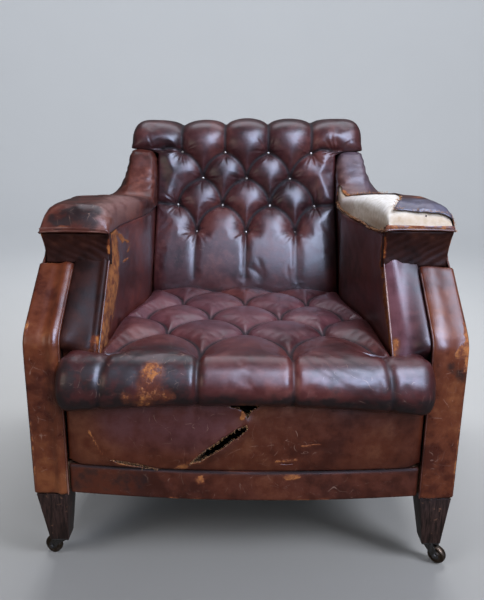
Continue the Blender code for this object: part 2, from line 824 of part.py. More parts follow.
# The section of arm and wing, from the inner foot over the top to the outer foot: the share of the
# width, the share of the arm's crown and the share of the wing's height above it.
ARM_SECTION = [
    (0.000, 0.00, 0.00), (0.000, 0.46, 0.45), (0.020, 0.74, 0.85), (0.090, 0.92, 0.985),
    (0.220, 1.00, 1.00), (0.350, 1.00, 0.99), (0.400, 1.00, 0.95), (0.440, 1.00, 0.76),
    (0.490, 1.00, 0.52), (0.570, 1.00, 0.26), (0.680, 1.00, 0.08), (0.830, 0.98, 0.00),
    (0.940, 0.86, 0.00), (0.990, 0.54, 0.00), (1.000, 0.00, 0.00),
]


def arm_section(y, grow=0.0):
    """The outline of arm or wing at a depth, in XZ on the right side, from inner foot to outer foot."""
    share = wing_share(y)
    crown = crown_height(y)
    inner = arm_inner(y) - ARM_PAD_LEAD
    wing = (WING_TOP - ARM_PAD_BASE - crown) * share
    last = len(ARM_SECTION) - 1
    points = []
    for i, (across, arm_share, wing_part) in enumerate(ARM_SECTION):
        angle = math.pi * (1 - i / last)
        x = inner + (ARM_PAD_OUTER - inner) * across
        z = ARM_PAD_BASE + crown * arm_share + wing * wing_part
        points.append((x + grow * math.cos(angle), z + grow * math.sin(angle)))
    return points


ARM_STATIONS = [
    ARM_NOSE, -0.294, -0.282, -0.258, -0.200, -0.150, -0.100, -0.050, 0.000, 0.040, 0.085, 0.110, 0.135,
    0.160, 0.180, WING_FULL, ARM_REAR,
]


def upright_notch(name, side):
    """The cutter that leaves room for a back upright inside a wing."""
    x_low, x_high = mirrored(0.222, 0.2885, side)
    return box(name, (x_low, 0.3255, 0.60), (x_high, 0.42, 0.80), None, collection=cutters)


def arm_pad(side_name, side):
    """The stuffing of the arm and of the wing above it."""
    rings = [[(side * x, y, z) for x, z in arm_section(y)] for y in ARM_STATIONS]
    pad = smooth(loft(f"arm_pad_{side_name}", rings, calico()), 50)
    return boolean(pad, upright_notch(f"pad_notch_{side_name}", side))


def arm_cover(side_name, side):
    """The leather stretched over the arm and up the wing, with its nose turned down in front."""
    rows = []
    nose = arm_section(ARM_NOSE, COVER_CLEARANCE)
    rows.append([(side * x, ARM_NOSE - COVER_CLEARANCE, ARM_PAD_BASE + 0.002 + (z - ARM_PAD_BASE) * 0.10)
                 for x, z in nose])
    for y in ARM_STATIONS:
        shift = -COVER_CLEARANCE if y == ARM_NOSE else 0.0
        rows.append([(side * x, y + shift, z + 0.0002) for x, z in arm_section(y, COVER_CLEARANCE)])
    cover = add(f"arm_cover_{side_name}", sheet_mesh(f"arm_cover_{side_name}", rows), oxblood())
    bm = bmesh.new()
    bm.from_mesh(cover.data)
    middle_face = max(bm.faces, key=lambda f: f.calc_center_median().z)
    if middle_face.normal.z < 0:
        bmesh.ops.reverse_faces(bm, faces=bm.faces)
    bm.to_mesh(cover.data)
    bm.free()
    solid = cover.modifiers.new("leather", "SOLIDIFY")
    solid.thickness = COVER_THICKNESS
    solid.offset = 1
    smooth(cover, 50)
    boolean(cover, upright_notch(f"cover_notch_{side_name}", side))
    if side_name == "right":
        boolean(cover, torn_patch())
    return cover


def torn_patch():
    """The cutter of what has torn away from the right arm's cover, along its inner edge."""
    outline = [
        (0.250, -0.27), (0.250, 0.060), (0.272, 0.045), (0.276, -0.040), (0.318, -0.075), (0.340, -0.150),
        (0.316, -0.215), (0.284, -0.275),
    ]
    return plan_plate("torn_patch", outline, 0.60, 0.72, None, collection=cutters)


def inside_arm(side_name, side):
    """The stuffed leather panel inside the arm, from under the seat to the arm's top."""
    ys = [-0.4005, -0.2745, -0.2636, -0.2634, -0.23, -0.18, -0.12, -0.06, 0.0, 0.055, 0.2900]
    front_z = {-0.4005: 0.4244, -0.2745: 0.5716, -0.2636: 0.5790}
    rings = []
    for y in ys:
        inner = arm_inner(y)
        outer = 0.2998
        top = front_z.get(y, ARM_RAIL_TOP)
        rings.append([
            (side * inner, y, 0.3525), (side * inner, y, top - 0.004), (side * (inner + 0.004), y, top),
            (side * outer, y, top), (side * outer, y, 0.3525),
        ])
    return smooth(loft(f"inside_arm_{side_name}", rings, oxblood()))


def outside_arm(side_name, side):
    """The flat leather panel on the outside, from the frame's foot to the arm."""
    outline = [
        (-0.4235, 0.1475), (-0.4235, 0.4493), (-0.4193, 0.4579), (-0.2892, 0.5684), (-0.2892, 0.5810),
        (-0.2634, 0.5810), (-0.2634, ARM_RAIL_TOP), (0.3622, ARM_RAIL_TOP), (0.3130, 0.1475),
    ]
    return side_plate(f"outside_arm_{side_name}", outline, side * (FRAME_OUTER + GAP), side * CHAIR_OUTER,
                      tan_leather())


def post_facing(side_name, side):
    """The padded leather band down the front post, with a rounded inner edge."""
    return side_plate(f"post_facing_{side_name}", FACING_FRONT_LINE + FACING_BACK_LINE, side * FACING_INNER,
                      side * (CHAIR_OUTER + 0.001), tan_leather(), 0.0045)


def arm_facing(side_name, side):
    """The dark leather under the arm's nose: an upright plate and the band that sweeps down to the seat."""
    band = [
        (-0.2840, 0.600), (-0.2840, 0.5812), (-0.4150, 0.4300), (-0.4150, 0.3520), (-0.4010, 0.3520),
        (-0.4010, 0.4248), (-0.2749, 0.5721), (-0.2680, 0.5830), (-0.2680, 0.600),
    ]
    facing = side_plate(f"arm_facing_{side_name}", band, side * 0.2720, side * 0.3347, dark_leather())
    low, high = mirrored(0.2680, 0.4020, side)
    plate = box(f"arm_plate_{side_name}", (low, -0.2865, 0.5815), (high, -0.2640, ARM_RAIL_TOP), None, 0.002,
                cutters)
    return boolean(facing, plate, "UNION")


def arms():
    """Both arms, each piece by piece."""
    for side_name, side in SIDES.items():
        arm_pad(side_name, side)
        arm_cover(side_name, side)
        inside_arm(side_name, side)
        outside_arm(side_name, side)
        post_facing(side_name, side)
        arm_facing(side_name, side)


# ---------------------------------------------------------------- back

def tufted_back():
    """The buttoned back: a sloping pad between the wings and a roll over the top of them."""
    body_outline = [
        (0.085, 0.3656), (0.096, 0.430), (0.118, 0.500), (0.150, 0.600), (0.180, 0.700), (0.192, 0.770),
        (0.3393, 0.770), (0.2978, 0.3656),
    ]
    body = side_plate("tufted_back", body_outline, -BACK_HALF, BACK_HALF, oxblood(), 0.006)
    foot = 0.7680
    section = [
        (0.192, foot), (0.186, 0.785), (0.190, 0.810), (0.204, 0.832), (0.228, 0.846), (0.262, BACK_TOP),
        (0.315, 0.851), (0.352, 0.843), (0.374, 0.826), (0.3825, 0.800), (0.3825, foot),
    ]
    rings = []
    for share, swell in ROLL_STATIONS:
        inward = 0.25 * (1 - swell)
        rings.append([
            (share * TOP_ROLL_HALF, y + (0.284 - y) * inward, foot + (z - foot) * swell) for y, z in section
        ])
    roll = smooth(loft("top_roll", rings, None, cutters), 50)
    return boolean(body, roll, "UNION")


def outside_back():
    """The flat leather panel behind the chair, flared out below the wings to the arms."""
    half = [(CHAIR_OUTER, -0.067), (CHAIR_OUTER, 0.4120), (0.385, 0.4260), (0.352, 0.4420), (0.326, 0.4680),
            (0.312, 0.5000), (0.303, 0.5400), (0.301, 0.5585)]
    outline = half + [(-x, z) for x, z in reversed(half)]
    panel = add("outside_back", outline_curve("outside_back", outline, 0.0045), tan_leather())
    panel = as_mesh(panel)
    leaning(panel, UPRIGHT_DEPTH + 0.0006 + 0.00225, 0)
    panel.rotation_euler = (math.pi / 2 - LEAN, 0, 0)
    return panel


def back_webbing():
    """Jute straps across the back frame, behind the buttoned pad."""
    webbing = lattice("back_webbing", (-0.17, -0.085, 0.0, 0.085, 0.17), (0.19, 0.28, 0.37, 0.46, 0.52),
                      (-0.228, 0.228), (0.155, 0.546), 0.05, WEB_THICKNESS, jute())
    leaning(webbing, -WEB_THICKNESS / 2 - 0.0004, 0)
    webbing.rotation_euler = (math.pi / 2 - LEAN, 0, 0)
    return webbing


def centre_chair():
    """Hangs every piece and cutter from one empty, so that the origin is under the chair's middle."""
    datum = bpy.data.objects.new("chair_datum", None)
    parts.objects.link(datum)
    datum.location = (0, DATUM_Y, 0)
    for obj in [*parts.objects, *cutters.objects]:
        if obj is not datum:
            obj.parent = datum


def build():
    """Builds the whole chair."""
    clear_scene()
    for side_name, side in SIDES.items():
        front_leg(side_name, side)
        back_leg(side_name, side)
    seat_frame()
    upper_frame()
    castors()
    seat()
    arms()
    tufted_back()
    outside_back()
    back_webbing()
    centre_chair()


build()
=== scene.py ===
"""A worn deep-buttoned leather club chair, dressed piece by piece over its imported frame.

Lengths are in metres, +Z is up and the chair faces -Y. The upholstery is laid out from a cross line
through the seat, DATUM_Y in front of the middle of the chair, and each mesh is moved there when made.
"""

from __future__ import annotations

import itertools
import json
import logging
import math
from collections.abc import Callable, Iterable, Sequence
from dataclasses import dataclass, field
from enum import Enum

import bmesh
import bpy
import numpy as np
from mathutils import Matrix, Vector

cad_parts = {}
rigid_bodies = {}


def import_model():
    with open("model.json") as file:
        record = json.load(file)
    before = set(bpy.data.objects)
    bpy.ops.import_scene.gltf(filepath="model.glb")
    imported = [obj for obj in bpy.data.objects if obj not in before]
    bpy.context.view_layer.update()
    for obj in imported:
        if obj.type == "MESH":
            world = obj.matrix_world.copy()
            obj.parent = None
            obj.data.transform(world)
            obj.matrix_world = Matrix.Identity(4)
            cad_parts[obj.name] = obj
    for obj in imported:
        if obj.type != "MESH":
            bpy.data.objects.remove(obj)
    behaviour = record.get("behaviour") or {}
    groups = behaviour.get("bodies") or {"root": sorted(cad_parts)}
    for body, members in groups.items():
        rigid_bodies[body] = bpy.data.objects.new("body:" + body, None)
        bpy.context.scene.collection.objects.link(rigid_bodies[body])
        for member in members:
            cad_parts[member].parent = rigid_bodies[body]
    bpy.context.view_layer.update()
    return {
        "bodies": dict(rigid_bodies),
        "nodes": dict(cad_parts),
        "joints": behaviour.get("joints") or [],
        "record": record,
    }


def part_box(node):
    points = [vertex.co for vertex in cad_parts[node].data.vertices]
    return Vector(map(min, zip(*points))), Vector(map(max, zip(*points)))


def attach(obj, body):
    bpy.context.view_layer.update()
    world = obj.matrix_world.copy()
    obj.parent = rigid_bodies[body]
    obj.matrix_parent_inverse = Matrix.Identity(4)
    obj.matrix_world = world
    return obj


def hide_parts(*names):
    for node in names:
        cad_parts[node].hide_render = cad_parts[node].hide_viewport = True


LOG = logging.getLogger("club_chair")

Point = tuple[float, float]
Place = tuple[float, float, float]

DATUM_Y = 0.0515

# Levels shared by several sub-assemblies, from the floor up.
ROLL_TOP = 0.4285
ARM_BASE = 0.6286
WING_TOP = 0.7669
BORDER_TOP = 0.3570
BORDER_ARCH = 0.0170

# Half widths shared by several sub-assemblies.
BORDER_HALF = 0.3340
CHAIR_OUTER = 0.4000
WING_INNER = 0.2360

SIDES = {"left": -1, "right": 1}


# ---------------------------------------------------------------- numbers and lines


def smoothstep(value: np.ndarray | float, low: float, high: float) -> np.ndarray:
    """Eases from 0 at low to 1 at high."""
    share = np.clip((np.asarray(value, float) - low) / (high - low), 0.0, 1.0)
    return share * share * (3 - 2 * share)


def arc_lengths(line: np.ndarray) -> np.ndarray:
    """The length along a line of points up to each of them."""
    steps = np.linalg.norm(np.diff(line, axis=0), axis=1)
    return np.concatenate([[0.0], np.cumsum(steps)])


def evenly(line: np.ndarray, count: int) -> np.ndarray:
    """The same line as count evenly spaced points."""
    along = arc_lengths(line)
    wanted = np.linspace(0.0, along[-1], count)
    return np.stack([np.interp(wanted, along, line[:, axis]) for axis in range(line.shape[1])], axis=1)


def smooth_line(points: Sequence[Sequence[float]], count: int) -> np.ndarray:
    """A smooth line through control points.

    Args:
        points: the control points, of any dimension.
        count: how many evenly spaced points to return.

    Returns:
        The points of a centripetal curve through every control point.
    """
    knots = np.asarray(points, float)
    padded = np.vstack([2 * knots[0] - knots[1], knots, 2 * knots[-1] - knots[-2]])
    spans = []
    for before, start, end, after in zip(padded, padded[1:], padded[2:], padded[3:]):
        steps = ((before, start), (start, end), (end, after))
        gaps = [max(np.linalg.norm(b - a), 1e-9) ** 0.5 for a, b in steps]
        t0, t1 = -gaps[0], 0.0
        t2, t3 = gaps[1], gaps[1] + gaps[2]
        for t in np.linspace(t1, t2, 12, endpoint=False):
            a1 = ((t1 - t) * before + (t - t0) * start) / (t1 - t0)
            a2 = ((t2 - t) * start + (t - t1) * end) / (t2 - t1)
            a3 = ((t3 - t) * end + (t - t2) * after) / (t3 - t2)
            b1 = ((t2 - t) * a1 + (t - t0) * a2) / (t2 - t0)
            b2 = ((t3 - t) * a2 + (t - t1) * a3) / (t3 - t1)
            spans.append(((t2 - t) * b1 + (t - t1) * b2) / (t2 - t1))
    spans.append(knots[-1])
    return evenly(np.array(spans), count)


def line_normals(line: np.ndarray) -> np.ndarray:
    """Unit normals of a flat line, to the left of its run."""
    tangent = np.gradient(line, axis=0)
    tangent /= np.linalg.norm(tangent, axis=1, keepdims=True)
    return np.stack([-tangent[:, 1], tangent[:, 0]], axis=1)


def lattice_noise(points: np.ndarray, cell: float, seed: int) -> np.ndarray:
    """Smooth noise from -1 to 1.

    Args:
        points: places with three coordinates each.
        cell: the size of one swell, in metres.
        seed: picks the pattern, so that each run gives the same one.

    Returns:
        One value for each place.
    """
    scaled = np.asarray(points, float) / cell + 1000.0
    base = np.floor(scaled).astype(np.int64)
    part = scaled - base
    ease = part * part * (3 - 2 * part)
    total = np.zeros(scaled.shape[:-1])
    for corner in itertools.product((0, 1), repeat=3):
        ids = base + np.array(corner)
        code = ids[..., 0] * 73856093 ^ ids[..., 1] * 19349663 ^ ids[..., 2] * 83492791 ^ seed * 2654435761
        code = (code ^ (code >> 13)) * 1274126177 & 0xFFFFFFFF
        value = ((code ^ (code >> 16)) & 0xFFFF) / 32767.5 - 1.0
        weight = np.prod(np.where(np.array(corner) == 1, ease, 1 - ease), axis=-1)
        total += value * weight
    return total


def distance_to_path(points: np.ndarray, path: np.ndarray) -> tuple[np.ndarray, np.ndarray]:
    """How far points lie from a path.

    Args:
        points: places, shaped (..., dimension).
        path: the path's own points, one of them or more.

    Returns:
        The distance of each place, and the share of the path at which it is nearest.
    """
    path = np.atleast_2d(np.asarray(path, float))
    if len(path) == 1:
        return np.linalg.norm(points - path[0], axis=-1), np.zeros(points.shape[:-1])
    best = np.full(points.shape[:-1], np.inf)
    share = np.zeros(points.shape[:-1])
    along = arc_lengths(path)
    for i, (start, end) in enumerate(zip(path, path[1:])):
        run = end - start
        length_squared = max(float(run @ run), 1e-18)
        t = np.clip(((points - start) @ run) / length_squared, 0.0, 1.0)
        gap = np.linalg.norm(points - (start + t[..., None] * run), axis=-1)
        nearer = gap < best
        best = np.where(nearer, gap, best)
        share = np.where(nearer, (along[i] + t * (along[i + 1] - along[i])) / along[-1], share)
    return best, share


def ragged(outline: Sequence[Point], wander: float, seed: int, step: float = 0.0025) -> np.ndarray:
    """A closed outline whose sides wander like torn leather.

    Args:
        outline: its corners.
        wander: how far a side strays, in metres.
        seed: picks the wandering.
        step: the spacing of the new points.

    Returns:
        The points of the torn outline.
    """
    closed = np.array([*outline, outline[0]], float)
    count = max(int(arc_lengths(closed)[-1] / step), 12)
    line = evenly(closed, count + 1)[:-1]
    flat = np.concatenate([line, np.zeros((count, 1))], axis=1)
    shift = np.stack([
        lattice_noise(flat, 0.011, seed) + 0.6 * lattice_noise(flat, 0.004, seed + 1),
        lattice_noise(flat, 0.011, seed + 2) + 0.6 * lattice_noise(flat, 0.004, seed + 3),
    ], axis=1)
    return line + wander * shift


# ---------------------------------------------------------------- nodes and finishes


def linear(hex_colour: str) -> tuple[float, float, float, float]:
    """An sRGB hex colour as linear red, green, blue and alpha."""
    channels = [int(hex_colour[i:i + 2], 16) / 255 for i in (1, 3, 5)]
    return (*[c / 12.92 if c <= 0.04045 else ((c + 0.055) / 1.055) ** 2.4 for c in channels], 1.0)


def add_node(tree: bpy.types.NodeTree, kind: str, settings: dict | None = None,
             links: dict | None = None) -> bpy.types.Node:
    """Adds a node with its settings and links.

    Args:
        tree: the tree that it joins.
        kind: the node's type name.
        settings: values by input name or number, or by the node's own setting.
        links: output sockets by the name or number of the input that they feed.

    Returns:
        The new node.
    """
    node = tree.nodes.new(kind)
    later = []
    for key, value in (settings or {}).items():
        if isinstance(key, str) and hasattr(node, key):
            setattr(node, key, value)
        else:
            later.append((key, value))
    for key, value in later:
        node.inputs[key].default_value = value
    for key, socket in (links or {}).items():
        tree.links.new(socket, node.inputs[key])
    return node


class Mark(Enum):
    """What use has done to a surface, and the painted shade and sheen laid over it, each kept as an attribute
    of the mesh.
    """

    WORN = "worn"
    # Real stains, and painted shade where parts meet or overhang.
    STAIN_AND_SHADE = "stain"
    # Fading, and on the torn arm and the right band a painted sheen and reflection.
    FADE = "fade"
    SCUFF = "scuff"
    # Dirt in the folds, and painted shade in the creases, the button pits and the seams.
    FOLD_DIRT_AND_SHADE = "fold"


class Shading:
    """A material's node tree under construction, with the few combinations that finishes share."""

    def __init__(self, name: str, roughness: float, **fixed: float) -> None:
        """Starts a Principled material.

        Args:
            name: the material's name.
            roughness: its plain roughness.
            fixed: other Principled sockets by name, with underscores for spaces.
        """
        self.material = bpy.data.materials.new(name)
        self.material.use_nodes = True
        self.tree = self.material.node_tree
        self.shader = self.tree.nodes["Principled BSDF"]
        self.shader.inputs["Roughness"].default_value = roughness
        for socket, value in fixed.items():
            self.shader.inputs[socket.replace("_", " ")].default_value = value
        self.place = self.add("ShaderNodeTexCoord").outputs["Object"]

    def add(self, kind: str, settings: dict | None = None, links: dict | None = None) -> bpy.types.Node:
        """Adds one node to this material."""
        return add_node(self.tree, kind, settings, links)

    def stretched(self, scale: Place) -> bpy.types.NodeSocket:
        """Object coordinates scaled by axis."""
        return self.add("ShaderNodeMapping", {"Scale": scale}, {"Vector": self.place}).outputs["Vector"]

    def noise(self, swell_mm: float, detail: float = 3.0, rough: float = 0.5,
              place: bpy.types.NodeSocket | None = None) -> bpy.types.NodeSocket:
        """Noise from 0 to 1 whose swells are that many millimetres across."""
        node = self.add("ShaderNodeTexNoise",
                        {"Scale": 1000.0 / swell_mm, "Detail": detail, "Roughness": rough},
                        {"Vector": place or self.place})
        return node.outputs["Fac"]

    def cells(self, cell_mm: float, feature: str = "F1",
              place: bpy.types.NodeSocket | None = None) -> bpy.types.NodeSocket:
        """Distance inside cells that many millimetres across."""
        node = self.add("ShaderNodeTexVoronoi", {"feature": feature, "Scale": 1000.0 / cell_mm},
                        {"Vector": place or self.place})
        return node.outputs["Distance"]

    def mark(self, mark: Mark) -> bpy.types.NodeSocket:
        """How strongly use has marked the surface, from the mesh."""
        return self.add("ShaderNodeAttribute", {"attribute_name": mark.value}).outputs["Fac"]

    def math(self, operation: str, first: object, second: object = 0.5) -> bpy.types.NodeSocket:
        """One sum of two sockets or numbers."""
        node = self.add("ShaderNodeMath", {"operation": operation})
        for i, value in enumerate((first, second)):
            if isinstance(value, bpy.types.NodeSocket):
                self.tree.links.new(value, node.inputs[i])
            else:
                node.inputs[i].default_value = value
        return node.outputs[0]

    def between(self, value: bpy.types.NodeSocket, low: float, high: float, start: float = 0.0,
                end: float = 1.0) -> bpy.types.NodeSocket:
        """Maps a value from one range to another, held at both ends."""
        node = self.add("ShaderNodeMapRange", {
            "interpolation_type": "SMOOTHSTEP", 1: low, 2: high, 3: start, 4: end,
        }, {0: value})
        return node.outputs[0]

    def blend(self, share: bpy.types.NodeSocket | float, first: object,
              second: object) -> bpy.types.NodeSocket:
        """Mixes two colours, each a socket or a hex value."""
        node = self.add("ShaderNodeMix", {"data_type": "RGBA"})
        for socket, value in ((node.inputs[0], share), (node.inputs[6], first), (node.inputs[7], second)):
            if isinstance(value, bpy.types.NodeSocket):
                self.tree.links.new(value, socket)
            else:
                socket.default_value = linear(value) if isinstance(value, str) else value
        return node.outputs[2]

    def relief(self, height: bpy.types.NodeSocket, depth_mm: float, strength: float = 1.0) -> None:
        """Adds a bump of a real depth over the bumps so far."""
        links = {"Height": height}
        below = self.shader.inputs["Normal"]
        if below.is_linked:
            links["Normal"] = below.links[0].from_socket
        bump = self.add("ShaderNodeBump", {"Distance": depth_mm / 1000.0, "Strength": strength}, links)
        self.tree.links.new(bump.outputs["Normal"], below)

    def finish(self, colour: bpy.types.NodeSocket, roughness: bpy.types.NodeSocket | None = None,
               metallic: bpy.types.NodeSocket | None = None) -> bpy.types.Material:
        """Joins the colour and the rest to the shader and returns the material."""
        self.tree.links.new(colour, self.shader.inputs["Base Color"])
        if roughness is not None:
            self.tree.links.new(roughness, self.shader.inputs["Roughness"])
        if metallic is not None:
            self.tree.links.new(metallic, self.shader.inputs["Metallic"])
        return self.material


@dataclass(frozen=True)
class Leather:
    """Aniline-dyed hide, waxed and worn: the dye thins to show the tan split beneath it."""

    name: str
    deep: str
    face: str
    rub: str
    # The faded colour also serves as a painted sheen on the torn arm and the right band.
    faded: str = "#6b4349"
    # The stained colour is near black, for real stains and for painted shade.
    stained: str = "#17100f"
    split_dark: str = "#5f2c16"
    split_light: str = "#9c5e2c"
    scratch: str = "#a5826c"
    roughness: float = 0.40
    coat: float = 0.62
    shine: float = 0.40
    wrinkle_mm: float = 0.35

    def material(self) -> bpy.types.Material:
        """The hide's material, which reads the marks that are painted on each mesh."""
        art = Shading(self.name, self.roughness, Coat_Weight=self.coat, Coat_Roughness=0.30,
                      Specular_IOR_Level=self.shine)
        broad = art.noise(120.0, 3.0)
        mottle = art.noise(24.0, 4.0, 0.6)
        fine = art.noise(4.0, 3.0, 0.65)
        tone = art.math("ADD", art.math("MULTIPLY", broad, 0.6), art.math("MULTIPLY", mottle, 0.4))
        colour = art.blend(art.between(tone, 0.38, 0.52), self.deep, self.face)
        colour = art.blend(art.between(tone, 0.50, 0.66), colour, self.rub)
        # Fading lightens the dye; on the torn arm and the right band the same blend paints a grey-blue
        # reflection and a purple sheen.
        fade = art.math("MULTIPLY", art.mark(Mark.FADE), art.between(mottle, 0.30, 0.60, 0.55, 1.0))
        colour = art.blend(fade, colour, self.faded)
        # Real stains go near black, and the same blend paints shade at the back's foot, under the roll and
        # along the border's top edge.
        stain = art.math("ADD", art.mark(Mark.STAIN_AND_SHADE), art.between(mottle, 0.35, 0.65, -0.25, 0.25))
        stain = art.math("MULTIPLY", art.between(stain, 0.20, 0.95, 0.0, 0.9),
                         art.between(art.mark(Mark.STAIN_AND_SHADE), 0.0, 0.2))
        colour = art.blend(stain, colour, self.stained)
        # Scratches are broken hairlines about 1 mm wide, where the surface has been dragged.
        scuff = None
        for swell_mm, side in ((90.0, (1.0, 1.6, 1.0)), (55.0, (1.7, 1.0, 0.8)), (38.0, (0.8, 1.1, 1.6))):
            drift = art.noise(swell_mm, 1.0, 0.4, art.stretched(side))
            path = art.math("ABSOLUTE", art.math("SUBTRACT", drift, 0.5))
            line = art.between(path, 0.0008, 0.0034, 1.0, 0.0)
            broken = art.between(art.noise(15.0, 2.0, 0.5, art.stretched(side)), 0.50, 0.64)
            line = art.math("MULTIPLY", line, broken)
            scuff = line if scuff is None else art.math("MAXIMUM", scuff, line)
        scuff = art.math("MULTIPLY", scuff, art.mark(Mark.SCUFF))
        colour = art.blend(art.math("MULTIPLY", scuff, 0.55), colour, self.scratch)
        # Where the dye is rubbed thin the tan shows, and then the split itself, broken up along the grain.
        worn = art.math("ADD", art.mark(Mark.WORN),
                        art.math("MULTIPLY", art.math("SUBTRACT", fine, 0.5), 0.40))
        worn = art.math("ADD", worn, art.math("MULTIPLY", art.math("SUBTRACT", mottle, 0.5), 1.3))
        reached = art.between(art.mark(Mark.WORN), 0.0, 0.12)
        thin = art.math("MULTIPLY", art.between(worn, 0.16, 0.50, 0.0, 0.8), reached)
        colour = art.blend(thin, colour, self.split_dark)
        bare = art.math("MULTIPLY", art.between(worn, 0.46, 0.60), reached)
        split = art.blend(art.between(art.noise(14.0, 5.0, 0.7), 0.36, 0.62), self.split_dark,
                          self.split_light)
        colour = art.blend(bare, colour, split)
        # Dirt and old polish lie black in the folds; the same black is painted shade in the creases, the
        # button pits and the rail's top seam.
        colour = art.blend(art.math("MULTIPLY", art.mark(Mark.FOLD_DIRT_AND_SHADE), 0.88), colour, "#0d0706")
        open_hide = art.math("SUBTRACT", 1.0, art.math("MAXIMUM", art.mark(Mark.FOLD_DIRT_AND_SHADE), bare))
        art.tree.links.new(art.math("MULTIPLY", open_hide, self.coat), art.shader.inputs["Coat Weight"])
        gloss = art.between(mottle, 0.30, 0.70, self.roughness - 0.06, self.roughness + 0.09)
        gloss = art.add("ShaderNodeMix", {"data_type": "FLOAT", 2: 0.85}, {0: open_hide, 3: gloss}).outputs[0]
        art.relief(broad, 1.5, 0.35)
        art.relief(art.noise(13.0, 3.0, 0.6, art.stretched((1.0, 1.0, 2.2))), self.wrinkle_mm, 0.8)
        # The real pores are about 0.6 mm apart, and drawn at 1.6 mm so that they show.
        art.relief(art.cells(1.6), 0.08, 0.5)
        art.relief(bare, 0.45, 0.9)
        return art.finish(colour, gloss)


@dataclass(frozen=True)
class Calico:
    """Unbleached cotton over wadding: a plain weave, browned where it has been handled."""

    name: str
    clean: str = "#e4d8c2"
    soiled: str = "#a58660"

    def material(self) -> bpy.types.Material:
        """Threads are about 0.7 mm apart, and drawn at 1.6 mm so that the weave shows."""
        art = Shading(self.name, 0.92, Sheen_Weight=0.25, Sheen_Roughness=0.5)
        soil = art.between(art.noise(38.0, 4.0, 0.6), 0.56, 0.86)
        soil = art.math("ADD", soil, art.mark(Mark.STAIN_AND_SHADE))
        colour = art.blend(art.between(art.noise(9.0, 3.0), 0.3, 0.7), self.clean, "#d0c1a5")
        colour = art.blend(art.math("MINIMUM", soil, 1.0), colour, self.soiled)
        for axis in ("X", "Y"):
            thread = art.add("ShaderNodeTexWave", {"bands_direction": axis, "Scale": 1000.0 / 1.6 / 20.0},
                             {"Vector": art.place}).outputs["Fac"]
            art.relief(thread, 0.18, 0.5)
        art.relief(art.noise(16.0, 3.0), 1.2, 0.6)
        return art.finish(colour)


@dataclass(frozen=True)
class StainedWood:
    """Close-grained hardwood, stained dark and polished; the grain runs up the leg."""

    name: str
    dark: str
    light: str
    roughness: float
    scratched: bool = True

    def material(self) -> bpy.types.Material:
        """Grain lines 3 mm wide and long streaks, with pale knocks where the polish is gone."""
        art = Shading(self.name, self.roughness, Coat_Weight=0.15, Coat_Roughness=0.3)
        streak = art.noise(30.0, 4.0, 0.6, art.stretched((9.0, 9.0, 0.9)))
        figure = art.noise(60.0, 3.0, 0.5, art.stretched((2.0, 2.0, 0.5)))
        colour = art.blend(art.between(streak, 0.35, 0.65), self.dark, self.light)
        colour = art.blend(art.between(figure, 0.45, 0.75, 0.0, 0.6), colour, self.dark)
        if self.scratched:
            knocks = art.between(art.noise(8.0, 2.0), 0.66, 0.72, 0.0, 0.7)
            colour = art.blend(knocks, colour, "#6d4a33")
        gloss = art.between(streak, 0.3, 0.7, self.roughness - 0.06, self.roughness + 0.14)
        art.relief(streak, 0.12, 0.6)
        return art.finish(colour, gloss)


@dataclass(frozen=True)
class Metal:
    """Cast or drawn metal: grime dulls it in patches, and it keeps a bright skin between them."""

    name: str
    bright: str
    grime: str
    roughness: float
    grimy: float = 0.5

    def material(self) -> bpy.types.Material:
        """Grime lies in patches about 6 mm across."""
        art = Shading(self.name, self.roughness)
        dirt = art.between(art.noise(6.0, 4.0, 0.6), 0.60 - 0.3 * self.grimy, 0.95 - 0.3 * self.grimy)
        colour = art.blend(dirt, self.bright, self.grime)
        gloss = art.between(dirt, 0.0, 1.0, self.roughness, 0.75)
        art.relief(art.noise(2.5, 3.0), 0.08, 0.6)
        return art.finish(colour, gloss, art.between(dirt, 0.0, 1.0, 1.0, 0.35))


@dataclass(frozen=True)
class Woven:
    """Coarse woven cloth such as jute webbing, hessian or black bottoming."""

    name: str
    light: str
    dark: str
    thread_mm: float

    def material(self) -> bpy.types.Material:
        """Two sets of threads cross at right angles."""
        art = Shading(self.name, 0.93, Sheen_Weight=0.2)
        height = None
        for axis in ("X", "Y"):
            wave = art.add("ShaderNodeTexWave", {"bands_direction": axis, "Scale": 50.0 / self.thread_mm},
                           {"Vector": art.place}).outputs["Fac"]
            height = wave if height is None else art.math("MAXIMUM", height, wave)
        colour = art.blend(art.between(height, 0.2, 0.9), self.dark, self.light)
        colour = art.blend(art.between(art.noise(30.0), 0.4, 0.8, 0.0, 0.5), colour, self.dark)
        art.relief(height, self.thread_mm * 0.25, 0.7)
        return art.finish(colour)


@dataclass(frozen=True)
class Plain:
    """A painted studio surface, with a breath of unevenness."""

    name: str
    colour: str
    roughness: float = 0.9

    def material(self) -> bpy.types.Material:
        """Almost even, with swells 400 mm across."""
        art = Shading(self.name, self.roughness)
        shade = art.between(art.noise(400.0, 2.0), 0.3, 0.7, 0.0, 0.06)
        return art.finish(art.blend(shade, self.colour, "#a9adb0"))


